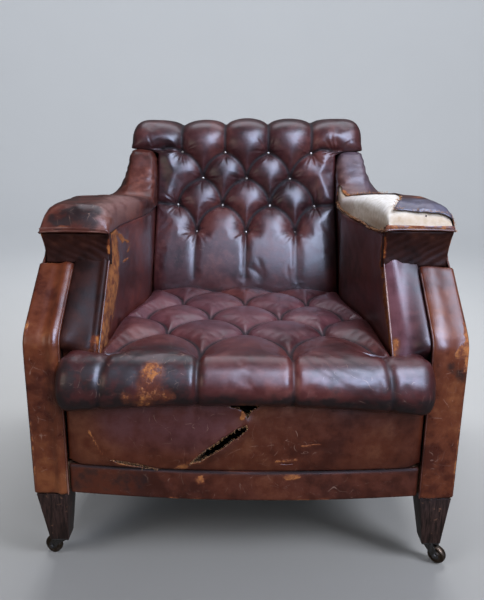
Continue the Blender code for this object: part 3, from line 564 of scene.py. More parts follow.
class Finishes:
    """Every finish on the chair, each made once and looked up by its short name."""

    LEATHERS = {
        "oxblood": Leather("oxblood_hide", "#240f0f", "#3b1918", "#562a23"),
        "seat": Leather("seat_hide", "#331210", "#4a1f1b", "#65332b"),
        "arm": Leather("arm_hide", "#33150e", "#50251a", "#764130", faded="#7a574c", coat=0.28, shine=0.30,
                       wrinkle_mm=0.6),
        "inner": Leather("inner_hide", "#34140f", "#4e2019", "#6b3225"),
        "dark": Leather("dark_hide", "#1a0b07", "#2b130c", "#442214", faded="#4f3745", roughness=0.50,
                        coat=0.05, shine=0.12),
        # Its faded colour is a grey-blue: painted sky reflection over faded hide.
        "torn": Leather("torn_arm_hide", "#2b1815", "#452722", "#6b4538", faded="#57535c", roughness=0.42,
                        coat=0.50, wrinkle_mm=1.1),
        "rim": Leather("torn_rim_hide", "#3a1f12", "#643b22", "#93683c", roughness=0.60, coat=0.0),
        "tan": Leather("tan_hide", "#3d170a", "#50220f", "#63331a", faded="#552e2c", roughness=0.42,
                       coat=0.30),
        "post": Leather("post_hide", "#43190b", "#5f2b13", "#7a421f", roughness=0.33, coat=0.70),
        "rail": Leather("rail_hide", "#3a170b", "#4f2211", "#62311a", roughness=0.46, coat=0.12),
        "piping": Leather("piping_hide", "#3a1c14", "#5a3226", "#84604f", roughness=0.34),
    }
    OTHERS = {
        "calico": Calico("unbleached_calico"),
        "leg": StainedWood("stained_leg_wood", "#1a100b", "#38231a", 0.38),
        "beech": StainedWood("aged_beech", "#4b3520", "#715236", 0.70, scratched=False),
        "iron": Metal("cast_iron", "#6f6a63", "#221c18", 0.42, 0.75),
        "wheel": Metal("turned_brass_wheel", "#6b5a48", "#1d1815", 0.36, 0.7),
        "steel": Metal("drawn_spring_steel", "#a8a49c", "#5a4a3c", 0.40, 0.35),
        "button": Metal("worn_button_metal", "#cfc7bb", "#8f7f6e", 0.30, 0.2),
        "jute": Woven("jute_webbing", "#8d7550", "#5a452b", 3.0),
        "hessian": Woven("hessian", "#93805c", "#5c4a30", 2.0),
        "bottoming": Woven("black_bottoming", "#1c1b1b", "#0c0b0b", 1.5),
        "thread": Woven("linen_thread", "#8f6f55", "#5b4130", 0.8),
        "fibre": Woven("torn_hide_fibre", "#c08a52", "#7d4c26", 1.2),
        "floor": Plain("studio_floor", "#b9bcbf"),
    }

    def __init__(self) -> None:
        """Starts with nothing made."""
        self.made: dict[str, bpy.types.Material] = {}

    def __getitem__(self, name: str) -> bpy.types.Material:
        """The material of that short name, made when first asked for."""
        if name not in self.made:
            finish = self.LEATHERS.get(name) or self.OTHERS[name]
            self.made[name] = finish.material()
        return self.made[name]


# ---------------------------------------------------------------- meshes


@dataclass(frozen=True)
class Blot:
    """One place that use has marked: a path, how far the mark reaches from it, and how strong it is."""

    mark: Mark
    path: tuple[Place, ...]
    reach: float
    strength: float = 1.0


def paint(obj: bpy.types.Object, blots: Iterable[Blot]) -> None:
    """Writes each kind of mark to the mesh as an attribute from 0 to 1."""
    places = places_of(obj)
    values: dict[Mark, np.ndarray] = {}
    for blot in blots:
        gap, _ = distance_to_path(places, np.array(blot.path))
        strength = blot.strength * (1 - smoothstep(gap, 0.25 * blot.reach, blot.reach))
        values[blot.mark] = np.maximum(values.get(blot.mark, 0.0), strength)
    for mark, value in values.items():
        attribute = obj.data.attributes.new(mark.value, "FLOAT", "POINT")
        attribute.data.foreach_set("value", value.astype(np.float32))


def places_of(obj: bpy.types.Object) -> np.ndarray:
    """Every vertex of an object, from the cross line through the seat."""
    flat = np.zeros(len(obj.data.vertices) * 3)
    obj.data.vertices.foreach_get("co", flat)
    return flat.reshape(-1, 3) - (0.0, DATUM_Y, 0.0)


def mesh_object(name: str, places: np.ndarray, faces: Sequence[Sequence[int]],
                finish: bpy.types.Material) -> bpy.types.Object:
    """A smooth object from places given from the cross line through the seat.

    Args:
        name: the piece's name.
        places: its vertices.
        faces: its faces as vertex numbers.
        finish: its material.

    Returns:
        The object, at the origin, with its place in its mesh.
    """
    mesh = bpy.data.meshes.new(name)
    moved = np.asarray(places, float).reshape(-1, 3) + (0.0, DATUM_Y, 0.0)
    mesh.from_pydata(moved.tolist(), [], [tuple(int(i) for i in face) for face in faces])
    mesh.materials.append(finish)
    mesh.shade_smooth()
    obj = bpy.data.objects.new(name, mesh)
    bpy.context.scene.collection.objects.link(obj)
    return obj


def grid_faces(rows: int, columns: int, first: int = 0) -> list[tuple[int, int, int, int]]:
    """The quads of a grid whose vertices run along each row in turn."""
    return [
        (first + r * columns + c, first + r * columns + c + 1, first + (r + 1) * columns + c + 1,
         first + (r + 1) * columns + c)
        for r in range(rows - 1) for c in range(columns - 1)
    ]


def rim_faces(rows: int, columns: int, lower: int) -> list[tuple[int, int, int, int]]:
    """The wall round a grid's edge, down to the same grid that starts at vertex lower."""
    loop = [c for c in range(columns)]
    loop += [r * columns + columns - 1 for r in range(1, rows)]
    loop += [(rows - 1) * columns + c for c in range(columns - 2, -1, -1)]
    loop += [r * columns for r in range(rows - 2, 0, -1)]
    return [(a, a + lower, b + lower, b) for a, b in zip(loop, loop[1:] + loop[:1])]


def mend(obj: bpy.types.Object, weld: float = 2e-5, close: bool = False) -> bpy.types.Object:
    """Merges what coincides, closes an open side and turns every face outwards."""
    bm = bmesh.new()
    bm.from_mesh(obj.data)
    bmesh.ops.remove_doubles(bm, verts=bm.verts, dist=weld)
    bmesh.ops.dissolve_degenerate(bm, edges=bm.edges, dist=1e-7)
    if close:
        edges = [e for e in bm.edges if e.is_boundary]
        filled = bmesh.ops.holes_fill(bm, edges=edges, sides=0)["faces"]
        bmesh.ops.triangulate(bm, faces=filled)
    loose = [v for v in bm.verts if not v.link_faces]
    bmesh.ops.delete(bm, geom=loose, context="VERTS")
    bmesh.ops.recalc_face_normals(bm, faces=bm.faces)
    for face in bm.faces:
        face.smooth = True
    bm.to_mesh(obj.data)
    bm.free()
    return obj


def baked(obj: bpy.types.Object) -> bpy.types.Object:
    """Turns an object's modifiers into plain mesh and removes them."""
    bpy.context.view_layer.update()
    evaluated = obj.evaluated_get(bpy.context.evaluated_depsgraph_get())
    made = bpy.data.meshes.new_from_object(evaluated)
    obj.modifiers.clear()
    obj.data = made
    return obj


def subdivided(obj: bpy.types.Object) -> bpy.types.Object:
    """Rounds a piece with one level of subdivision."""
    surface = obj.modifiers.new("rounded", "SUBSURF")
    surface.levels = surface.render_levels = 1
    return baked(obj)


def face_normals(grid: np.ndarray, outward: Place) -> np.ndarray:
    """Unit normals over a grid of places, on the side that outward points to."""
    across = np.gradient(grid, axis=0)
    along = np.gradient(grid, axis=1)
    normal = np.cross(across, along)
    normal /= np.maximum(np.linalg.norm(normal, axis=-1, keepdims=True), 1e-12)
    return normal if (normal @ np.array(outward)).mean() > 0 else -normal


def settle(obj: bpy.types.Object, cap: float, pressure: float, slack: float, frames: int = 16) -> None:
    """Lets a pad swell like stuffed hide, held where its attribute "hold" is 1.

    Args:
        obj: the pad.
        cap: the furthest that any point may move, in metres.
        pressure: how hard the stuffing pushes.
        slack: how much larger the hide is than its bed, as a share, which gathers into creases.
        frames: how long it settles.
    """
    count = len(obj.data.vertices)
    hold = np.zeros(count)
    obj.data.attributes["hold"].data.foreach_get("value", hold)
    group = obj.vertex_groups.new(name="hold")
    steps = 20
    bins = np.round(hold * steps).astype(int)
    for level in range(1, steps + 1):
        members = np.flatnonzero(bins == level)
        if len(members):
            group.add(members.tolist(), level / steps, "REPLACE")
    before = places_of(obj)
    cloth = obj.modifiers.new("settle", "CLOTH")
    hide = cloth.settings
    hide.quality = 6
    hide.mass = 0.15
    hide.tension_stiffness = hide.compression_stiffness = 25.0
    hide.shear_stiffness = 12.0
    hide.bending_stiffness = 3.0
    hide.air_damping = 4.0
    hide.vertex_group_mass = "hold"
    hide.pin_stiffness = 1.0
    hide.shrink_min = -slack
    hide.use_pressure = True
    hide.uniform_pressure_force = pressure
    hide.effector_weights.gravity = 0.0
    cloth.collision_settings.use_collision = False
    cloth.point_cache.frame_start, cloth.point_cache.frame_end = 1, frames
    for frame in range(1, frames + 1):
        bpy.context.scene.frame_set(frame)
    evaluated = obj.evaluated_get(bpy.context.evaluated_depsgraph_get())
    flat = np.zeros(count * 3)
    evaluated.data.vertices.foreach_get("co", flat)
    move = flat.reshape(-1, 3) - (0.0, DATUM_Y, 0.0) - before
    size = np.linalg.norm(move, axis=1, keepdims=True)
    move *= np.minimum(1.0, cap / np.maximum(size, 1e-9))
    obj.modifiers.clear()
    obj.vertex_groups.clear()
    after = before + move + (0.0, DATUM_Y, 0.0)
    obj.data.vertices.foreach_set("co", after.ravel())
    obj.data.update()
    bpy.context.scene.frame_set(1)


@dataclass(frozen=True)
class Pleat:
    """A fold that draws the hide in from one place to another, on a pad's own flat layout."""

    start: Point
    end: Point
    arch: float = 0.0
    depths: tuple[float, float, float] = (0.014, 0.007, 0.014)
    reach: float = 0.040
    tight: float = 0.15

    def line(self) -> np.ndarray:
        """The fold's curve: its arch is a share of its length, away from the lower end's side."""
        start, end = np.array(self.start), np.array(self.end)
        run = end - start
        side = np.array([-run[1], run[0]])
        middle = (start + end) / 2 + 2 * self.arch * side
        t = np.linspace(0.0, 1.0, 9)[:, None]
        return (1 - t) ** 2 * start + 2 * t * (1 - t) * middle + t ** 2 * end

    def depth(self, share: np.ndarray) -> np.ndarray:
        """How deep the fold lies at a share of its length."""
        first, middle, last = self.depths
        ends = np.where(share < 0.5, first, last)
        return middle + (ends - middle) * np.abs(2 * share - 1) ** 2.2


@dataclass
class TuftedPad:
    """A deep-buttoned pad with a roll along one edge, laid out over its profile.

    The profile runs in depth and height from the pad's foot over its face and round the roll. On the
    flat layout a place is (x, length along the profile).
    """

    name: str
    profile: Sequence[Point]
    half_width: Callable[[float, float], float]
    behind: Callable[[float, float], Point]
    pleats: list[Pleat] = field(default_factory=list)
    buttons: list[Point] = field(default_factory=list)
    rounding: Callable[[float, float], float] = lambda y, z: 0.010
    spacing: float = 0.005
    crown: float = 0.003
    edge_depth: float = 0.007
    edge_reach: float = 0.040
    groove: float = 0.0005
    crease: float = 0.0010
    rays: int = 13
    seed: int = 1

    def __post_init__(self) -> None:
        """Lays the profile out evenly."""
        rough = smooth_line(self.profile, 400)
        self.line = evenly(rough, int(arc_lengths(rough)[-1] / self.spacing) + 1)
        self.along = arc_lengths(self.line)
        normals = line_normals(self.line)
        outward = np.array([point - np.array(self.behind(*point)) for point in self.line])
        self.normals = normals * np.sign((normals * outward).sum())

    def along_at(self, axis: int, value: float, low: float = 0.0, high: float = 9.0) -> float:
        """Where the profile first passes a depth (axis 0) or a height (axis 1) within a range of lengths."""
        inside = (self.along >= low) & (self.along <= high)
        gaps = np.where(inside, np.abs(self.line[:, axis] - value), np.inf)
        return float(self.along[int(np.argmin(gaps))])

    def tuft(self, x: np.ndarray, t: np.ndarray, half: np.ndarray) -> tuple[np.ndarray, np.ndarray]:
        """How far the hide stands out or is drawn in.

        Args:
            x: places across.
            t: lengths along the profile.
            half: the half width at each place.

        Returns:
            The rise of each place, and how firmly it is held, from 0 to 1.
        """
        flat = np.stack([x, t], axis=-1)
        power = 5.0
        edge_gap = np.maximum(half - np.abs(x), 0.0) + 1e-4
        weight_sum = edge_gap ** -power
        depth_sum = weight_sum * self.edge_depth
        reach_sum = weight_sum * self.edge_reach
        for pleat in self.pleats:
            gap, share = distance_to_path(flat, pleat.line())
            weight = (gap + 2e-4) ** -power
            weight_sum = weight_sum + weight
            depth_sum = depth_sum + weight * pleat.depth(share)
            reach_sum = reach_sum + weight * pleat.reach
        gap = weight_sum ** (-1 / power)
        depth, reach = depth_sum / weight_sum, reach_sum / weight_sum
        fullness = (1 - (1 - np.clip(gap / reach, 0.0, 1.0)) ** 2) ** 0.70
        rise = -depth + (self.crown + depth) * fullness
        for bx, bt in self.buttons:
            rise -= 0.006 * np.exp(-(np.hypot(x - bx, t - bt) / 0.008) ** 2)
        hold = 1 - smoothstep(gap, 0.003, 0.014)
        return rise, hold

    def build(self, finish: bpy.types.Material) -> bpy.types.Object:
        """The closed pad, with the attribute "hold" where its folds and hidden sides are held."""
        half = np.array([self.half_width(y, z) for y, z in self.line])
        mates = np.array([self.behind(y, z) for y, z in self.line])
        radius = np.array([self.rounding(y, z) for y, z in self.line])
        core = half - radius
        # The inner columns run straight, so that only the outer ones spread where the pad widens.
        steady = 0.74 * core.min()
        inner = np.linspace(0.0, steady, int(steady / self.spacing) + 1)
        spread = np.linspace(0.0, 1.0, int((core.max() - steady) / (1.2 * self.spacing)) + 1)[1:]
        right = np.concatenate([np.broadcast_to(inner, (len(core), len(inner))),
                                steady + (core[:, None] - steady) * spread], axis=1)
        x = np.concatenate([-right[:, :0:-1], right], axis=1)
        t = np.broadcast_to(self.along[:, None], x.shape)
        rise, hold = self.tuft(x, t, np.broadcast_to(half[:, None], x.shape))
        on_rear = np.linalg.norm(self.line - mates, axis=1) < 0.012
        fade = 1 - np.array([float(v) for v in on_rear])
        rise = rise * fade[:, None]
        hold = np.maximum(hold, 1 - fade[:, None])
        middle = np.stack([
            x,
            self.line[:, 0, None] + self.normals[:, 0, None] * rise,
            self.line[:, 1, None] + self.normals[:, 1, None] * rise,
        ], axis=-1)
        blocks, holds, acrosses = [middle], [hold], [x]
        for side, edge in ((-1, 0), (1, -1)):
            strips = []
            for turn in (18.0, 36.0, 54.0, 72.0, 90.0):
                angle = math.radians(turn)
                inset = radius * (1 - math.cos(angle)) * fade
                out = rise[:, edge] * math.cos(angle) - inset
                strips.append(np.stack([
                    side * (core + radius * math.sin(angle)),
                    self.line[:, 0] + self.normals[:, 0] * out,
                    self.line[:, 1] + self.normals[:, 1] * out,
                ], axis=-1))
            last = strips[-1]
            for share in (0.3, 0.65, 1.0):
                strips.append(np.stack([
                    last[:, 0],
                    last[:, 1] + (mates[:, 0] - last[:, 1]) * share,
                    last[:, 2] + (mates[:, 1] - last[:, 2]) * share,
                ], axis=-1))
            strip = np.stack(strips, axis=1)
            held = np.ones(strip.shape[:2])
            # The hidden sides lie off the layout, so that nothing is etched on them.
            across = np.repeat(side * core[:, None], len(strips), axis=1)
            across[:, 5:] = side * 9.0
            if side < 0:
                blocks.insert(0, strip[:, ::-1])
                holds.insert(0, held)
                acrosses.insert(0, across[:, ::-1])
            else:
                blocks.append(strip)
                holds.append(held)
                acrosses.append(across)
        grid = np.concatenate(blocks, axis=1)
        obj = mesh_object(self.name, grid, grid_faces(*grid.shape[:2]), finish)
        along = np.broadcast_to(self.along[:, None], grid.shape[:2])
        for label, values in (("hold", np.concatenate(holds, axis=1)), ("along", along),
                              ("across", np.concatenate(acrosses, axis=1))):
            attribute = obj.data.attributes.new(label, "FLOAT", "POINT")
            attribute.data.foreach_set("value", values.ravel().astype(np.float32))
        return mend(obj, close=True)

    def etch(self, obj: bpy.types.Object) -> None:
        """Cuts the tight line of each fold, and the creases that fan out from each button."""
        count = len(obj.data.vertices)
        flat = np.zeros((count, 2))
        for axis, label in enumerate(("across", "along")):
            values = np.zeros(count)
            obj.data.attributes[label].data.foreach_get("value", values)
            flat[:, axis] = values
        normals = np.zeros(count * 3)
        obj.data.vertices.foreach_get("normal", normals)
        nearest, strength = np.full(count, 1.0), np.zeros(count)
        for pleat in self.pleats:
            gap, share = distance_to_path(flat, pleat.line())
            closer = gap < nearest
            nearest = np.where(closer, gap, nearest)
            strength = np.where(closer, np.clip(pleat.depth(share) / 0.008, pleat.tight, 1.0), strength)
        rise = -self.groove * strength * np.exp(-(nearest / 0.0030) ** 2)
        rng = np.random.default_rng(self.seed)
        for bx, bt in self.buttons:
            away = flat - (bx, bt)
            reach = np.hypot(away[:, 0], away[:, 1])
            near = np.flatnonzero(reach < 0.062)
            fade = smoothstep(reach[near], 0.002, 0.007)
            start = rng.uniform(0, 2 * math.pi)
            for ray in range(self.rays):
                turn = start + (ray + rng.uniform(-0.35, 0.35)) * 2 * math.pi / self.rays
                length, deep = rng.uniform(0.020, 0.055), self.crease * rng.uniform(0.35, 1.2)
                bend = rng.uniform(-7.0, 7.0)
                run = away[near] @ (math.cos(turn), math.sin(turn))
                off = away[near] @ (-math.sin(turn), math.cos(turn)) - bend * run ** 2
                width = 0.0012 + 0.055 * np.maximum(run, 0.0)
                lasting = np.where(run > 0, np.clip(1 - run / length, 0.0, 1.0), 0.0)
                rise[near] += deep * fade * lasting * (
                    0.55 * np.exp(-((off - 1.7 * width) / width) ** 2) - np.exp(-(off / width) ** 2)
                )
        flatwise = np.abs(flat[:, 0]) < 1.0
        places = places_of(obj) + normals.reshape(-1, 3) * (rise * flatwise)[:, None]
        obj.data.vertices.foreach_set("co", (places + (0.0, DATUM_Y, 0.0)).ravel())
        obj.data.update()
        # The fold attribute blackens the folds and the button pits: dirt, with painted shade where they lie
        # deep.
        fold = strength ** 1.5 * (1 - smoothstep(nearest, 0.0005, 0.0062)) * flatwise
        for bx, bt in self.buttons:
            fold = np.maximum(fold, np.exp(-(np.hypot(flat[:, 0] - bx, flat[:, 1] - bt) / 0.008) ** 2))
        attribute = obj.data.attributes.new(Mark.FOLD_DIRT_AND_SHADE.value, "FLOAT", "POINT")
        attribute.data.foreach_set("value", fold.astype(np.float32))


@dataclass
class PaddedPanel:
    """A leather panel over a thin pad: a face with rounded edges, walls and a back.

    The face is a function of two shares from 0 to 1, and outward is roughly the way it faces.
    """

    name: str
    face: Callable[[np.ndarray, np.ndarray], np.ndarray]
    size: Point
    depth: float
    outward: Place
    rounding: float = 0.006
    crown: float = 0.0
    spacing: float = 0.006
    relief: Callable[[np.ndarray], np.ndarray] | None = None

    def stations(self, length: float) -> np.ndarray:
        """Shares along a side, closer together where the edges are rounded."""
        r = min(self.rounding, 0.35 * length)
        near = np.array([1 - math.cos(math.radians(a)) for a in (0, 25, 45, 65, 90)]) * r / length
        middle = np.linspace(near[-1], 1 - near[-1], max(int(length / self.spacing), 3) + 1)
        return np.concatenate([near[:-1], middle, 1 - near[-2::-1]])

    def build(self, finish: bpy.types.Material) -> bpy.types.Object:
        """The closed panel."""
        u, v = self.stations(self.size[0]), self.stations(self.size[1])
        shares_u, shares_v = np.meshgrid(u, v, indexing="ij")
        base = self.face(shares_u, shares_v)
        normal = face_normals(base, self.outward)
        r = self.rounding
        drop = 0.0
        for shares, length in ((shares_u, self.size[0]), (shares_v, self.size[1])):
            gap = np.minimum(shares, 1 - shares) * length
            lean = np.clip(1 - gap / r, 0.0, 1.0)
            drop = drop + r * (1 - np.sqrt(1 - lean ** 2))
        swell = (np.sin(np.pi * shares_u) * np.sin(np.pi * shares_v)) ** 0.6 * self.crown
        out = swell - np.minimum(drop, min(1.3 * r, self.depth * 0.95))
        if self.relief is not None:
            out = out + self.relief(base) * np.clip(1 - drop / r, 0.0, 1.0)
        front = base + normal * out[..., None]
        back = base - normal * self.depth
        rows, columns = base.shape[:2]
        places = np.concatenate([front.reshape(-1, 3), back.reshape(-1, 3)])
        lower = rows * columns
        faces = grid_faces(rows, columns) + [f[::-1] for f in grid_faces(rows, columns, lower)]
        faces += rim_faces(rows, columns, lower)
        return mend(mesh_object(self.name, places, faces, finish))


def hide_sheet(name: str, grid: np.ndarray, thickness: float, outward: Place,
               finish: bpy.types.Material) -> bpy.types.Object:
    """A closed sheet of hide whose outer face is the grid."""
    inner = grid - face_normals(grid, outward) * thickness
    rows, columns = grid.shape[:2]
    places = np.concatenate([grid.reshape(-1, 3), inner.reshape(-1, 3)])
    faces = grid_faces(rows, columns) + [f[::-1] for f in grid_faces(rows, columns, rows * columns)]
    faces += rim_faces(rows, columns, rows * columns)
    return mend(mesh_object(name, places, faces, finish))


def prism(outline: np.ndarray, axes: tuple[int, int], low: float, high: float) -> bpy.types.Object:
    """A cutter: an outline drawn on two axes and carried along the third from low to high."""
    third = 3 - sum(axes)
    count = len(outline)
    places = np.zeros((2 * count, 3))
    for layer, level in enumerate((low, high)):
        block = slice(layer * count, (layer + 1) * count)
        places[block, axes[0]] = outline[:, 0]
        places[block, axes[1]] = outline[:, 1]
        places[block, third] = level
    faces = [tuple(range(count - 1, -1, -1)), tuple(range(count, 2 * count))]
    faces += [(i, (i + 1) % count, (i + 1) % count + count, i + count) for i in range(count)]
    material = bpy.data.materials.get("cutter") or bpy.data.materials.new("cutter")
    return mend(mesh_object("cutter", places, faces, material))


def torn(obj: bpy.types.Object, cutters: Iterable[bpy.types.Object]) -> bpy.types.Object:
    """Takes each cutter's shape out of a piece."""
    finish = obj.data.materials[0]
    for cutter in cutters:
        cut = obj.modifiers.new("tear", "BOOLEAN")
        cut.operation, cut.solver, cut.object = "DIFFERENCE", "EXACT", cutter
        baked(obj)
        bpy.data.objects.remove(cutter, do_unlink=True)
    obj.data.materials.clear()
    obj.data.materials.append(finish)
    for polygon in obj.data.polygons:
        polygon.material_index = 0
    return mend(obj, weld=1e-5)


def lathe(name: str, profile: Sequence[Point], finish: bpy.types.Material,
          sides: int = 48) -> bpy.types.Object:
    """A closed turned shape about its own Z axis from (radius, height) points, made at the origin."""
    angles = np.linspace(0, 2 * math.pi, sides, endpoint=False)
    rings = [[(r * math.cos(a), r * math.sin(a), z) for a in angles] for r, z in profile]
    places = np.array(rings)
    faces = []
    for row in range(len(profile) - 1):
        for i in range(sides):
            j = (i + 1) % sides
            faces.append((row * sides + i, row * sides + j, (row + 1) * sides + j, (row + 1) * sides + i))
    obj = mesh_object(name, places, faces, finish)
    obj.data.transform(Matrix.Translation((0.0, -DATUM_Y, 0.0)))
    return mend(obj, weld=1e-6)


def softened_copy(name: str, node: str, width: float, finish: bpy.types.Material,
                  sharp: float = 30.0) -> bpy.types.Object:
    """A copy of a frame node whose corners are rounded by handling and wear."""
    source = bpy.data.objects[node]
    obj = bpy.data.objects.new(name, source.data.copy())
    bpy.context.scene.collection.objects.link(obj)
    obj.data.materials.clear()
    obj.data.materials.append(finish)
    bm = bmesh.new()
    bm.from_mesh(obj.data)
    bmesh.ops.remove_doubles(bm, verts=bm.verts, dist=1e-5)
    bmesh.ops.dissolve_limit(bm, angle_limit=math.radians(1.0), verts=bm.verts, edges=bm.edges)
    bm.to_mesh(obj.data)
    bm.free()
    bevel = obj.modifiers.new("worn_edges", "BEVEL")
    bevel.width, bevel.segments = width, 3
    bevel.limit_method, bevel.angle_limit = "ANGLE", math.radians(sharp)
    bevel.harden_normals = False
    baked(obj)
    obj.data.shade_smooth()
    obj.data.set_sharp_from_angle(angle=math.radians(40))
    return obj


# ---------------------------------------------------------------- what repeats


class GeometryTree:
    """A geometry node tree under construction, with named inputs."""

    def __init__(self, name: str, inputs: dict[str, tuple[str, object]]) -> None:
        """Opens a tree.

        Args:
            name: the tree's name.
            inputs: the socket kind and the starting value of each input by its name.
        """
        self.tree = bpy.data.node_groups.new(name, "GeometryNodeTree")
        face = self.tree.interface
        face.new_socket("Geometry", in_out="INPUT", socket_type="NodeSocketGeometry")
        for label, (kind, value) in {**inputs, "Material": ("NodeSocketMaterial", None)}.items():
            item = face.new_socket(label, in_out="INPUT", socket_type=kind)
            if value is not None:
                item.default_value = value
        face.new_socket("Geometry", in_out="OUTPUT", socket_type="NodeSocketGeometry")
        self.inputs = add_node(self.tree, "NodeGroupInput").outputs

    def add(self, kind: str, settings: dict | None = None, links: dict | None = None) -> bpy.types.Node:
        """Adds one node to this tree."""
        return add_node(self.tree, kind, settings, links)

    def close(self, geometry: bpy.types.NodeSocket) -> GeometryTree:
        """Ends the tree in real mesh of one material."""
        real = self.add("GeometryNodeRealizeInstances", links={"Geometry": geometry})
        smooth = self.add("GeometryNodeSetShadeSmooth", links={"Geometry": real.outputs["Geometry"]})
        dressed = self.add("GeometryNodeSetMaterial",
                           links={"Geometry": smooth.outputs["Geometry"],
                                  "Material": self.inputs["Material"]})
        self.add("NodeGroupOutput", links={"Geometry": dressed.outputs["Geometry"]})
        return self

    def grow(self, obj: bpy.types.Object, finish: bpy.types.Material, **values: object) -> bpy.types.Object:
        """Runs the tree over an object's mesh and keeps the result as plain mesh.

        Args:
            obj: the object whose mesh the tree starts from.
            finish: the material of the result.
            values: the tree's other inputs, with underscores for spaces.

        Returns:
            The same object, holding the grown mesh.
        """
        modifier = obj.modifiers.new("grow", "NODES")
        modifier.node_group = self.tree
        wanted = {key.replace("_", " "): value for key, value in values.items()} | {"Material": finish}
        for item in self.tree.interface.items_tree:
            if item.item_type == "SOCKET" and item.in_out == "INPUT" and item.name in wanted:
                modifier[item.identifier] = wanted[item.name]
        baked(obj)
        if not obj.data.materials:
            obj.data.materials.append(finish)
        return obj


@dataclass(frozen=True)
class Run:
    """A path on a surface, with the way that the surface faces at each of its points."""

    path: np.ndarray
    aims: np.ndarray


def runs_object(name: str, runs: Sequence[Run]) -> bpy.types.Object:
    """A bare object whose edges follow several paths, with their facing as the attribute "aim"."""
    places, edges, aims, first = [], [], [], 0
    for run in runs:
        places.append(np.asarray(run.path, float))
        aims.append(np.broadcast_to(np.asarray(run.aims, float), np.shape(run.path)))
        edges += [(first + i, first + i + 1) for i in range(len(run.path) - 1)]
        first += len(run.path)
    mesh = bpy.data.meshes.new(name)
    mesh.from_pydata((np.concatenate(places) + (0.0, DATUM_Y, 0.0)).tolist(), edges, [])
    attribute = mesh.attributes.new("aim", "FLOAT_VECTOR", "POINT")
    attribute.data.foreach_set("vector", np.concatenate(aims).ravel().astype(np.float32))
    obj = bpy.data.objects.new(name, mesh)
    bpy.context.scene.collection.objects.link(obj)
    return obj


def welt_tree() -> GeometryTree:
    """A covered cord sewn into a seam: a round section carried along a path."""
    art = GeometryTree("covered_welt", {"Radius": ("NodeSocketFloat", 0.002)})
    path = art.add("GeometryNodeMeshToCurve", links={"Mesh": art.inputs["Geometry"]})
    section = art.add("GeometryNodeCurvePrimitiveCircle", {"Resolution": 10},
                      {"Radius": art.inputs["Radius"]})
    tube = art.add("GeometryNodeCurveToMesh", {"Fill Caps": True},
                   {"Curve": path.outputs[0], "Profile Curve": section.outputs[0]})
    return art.close(tube.outputs[0])


def stitch_tree() -> GeometryTree:
    """Short stitches laid end to end along a path."""
    art = GeometryTree("stitch_row", {
        "Spacing": ("NodeSocketFloat", 0.006), "Length": ("NodeSocketFloat", 0.0038),
        "Thickness": ("NodeSocketFloat", 0.0009),
    })
    path = art.add("GeometryNodeMeshToCurve", links={"Mesh": art.inputs["Geometry"]})
    points = art.add("GeometryNodeCurveToPoints", {"mode": "LENGTH"},
                     {"Curve": path.outputs[0], "Length": art.inputs["Spacing"]})
    bead = art.add("GeometryNodeMeshIcoSphere", {"Radius": 0.5, "Subdivisions": 2})
    size = art.add("ShaderNodeCombineXYZ", links={
        "X": art.inputs["Thickness"], "Y": art.inputs["Thickness"], "Z": art.inputs["Length"],
    })
    row = art.add("GeometryNodeInstanceOnPoints", links={
        "Points": points.outputs["Points"], "Instance": bead.outputs["Mesh"],
        "Rotation": points.outputs["Rotation"], "Scale": size.outputs[0],
    })
    return art.close(row.outputs[0])


def studding_tree() -> GeometryTree:
    """One shape set at every point, facing the way of the attribute "aim"."""
    art = GeometryTree("studding", {"Shape": ("NodeSocketObject", None)})
    shape = art.add("GeometryNodeObjectInfo", links={"Object": art.inputs["Shape"]})
    aim = art.add("GeometryNodeInputNamedAttribute", {"data_type": "FLOAT_VECTOR", "Name": "aim"})
    turn = art.add("FunctionNodeAlignRotationToVector", {"axis": "Z"}, {"Vector": aim.outputs["Attribute"]})
    studs = art.add("GeometryNodeInstanceOnPoints", links={
        "Points": art.inputs["Geometry"], "Instance": shape.outputs["Geometry"],
        "Rotation": turn.outputs["Rotation"],
    })
    return art.close(studs.outputs[0])


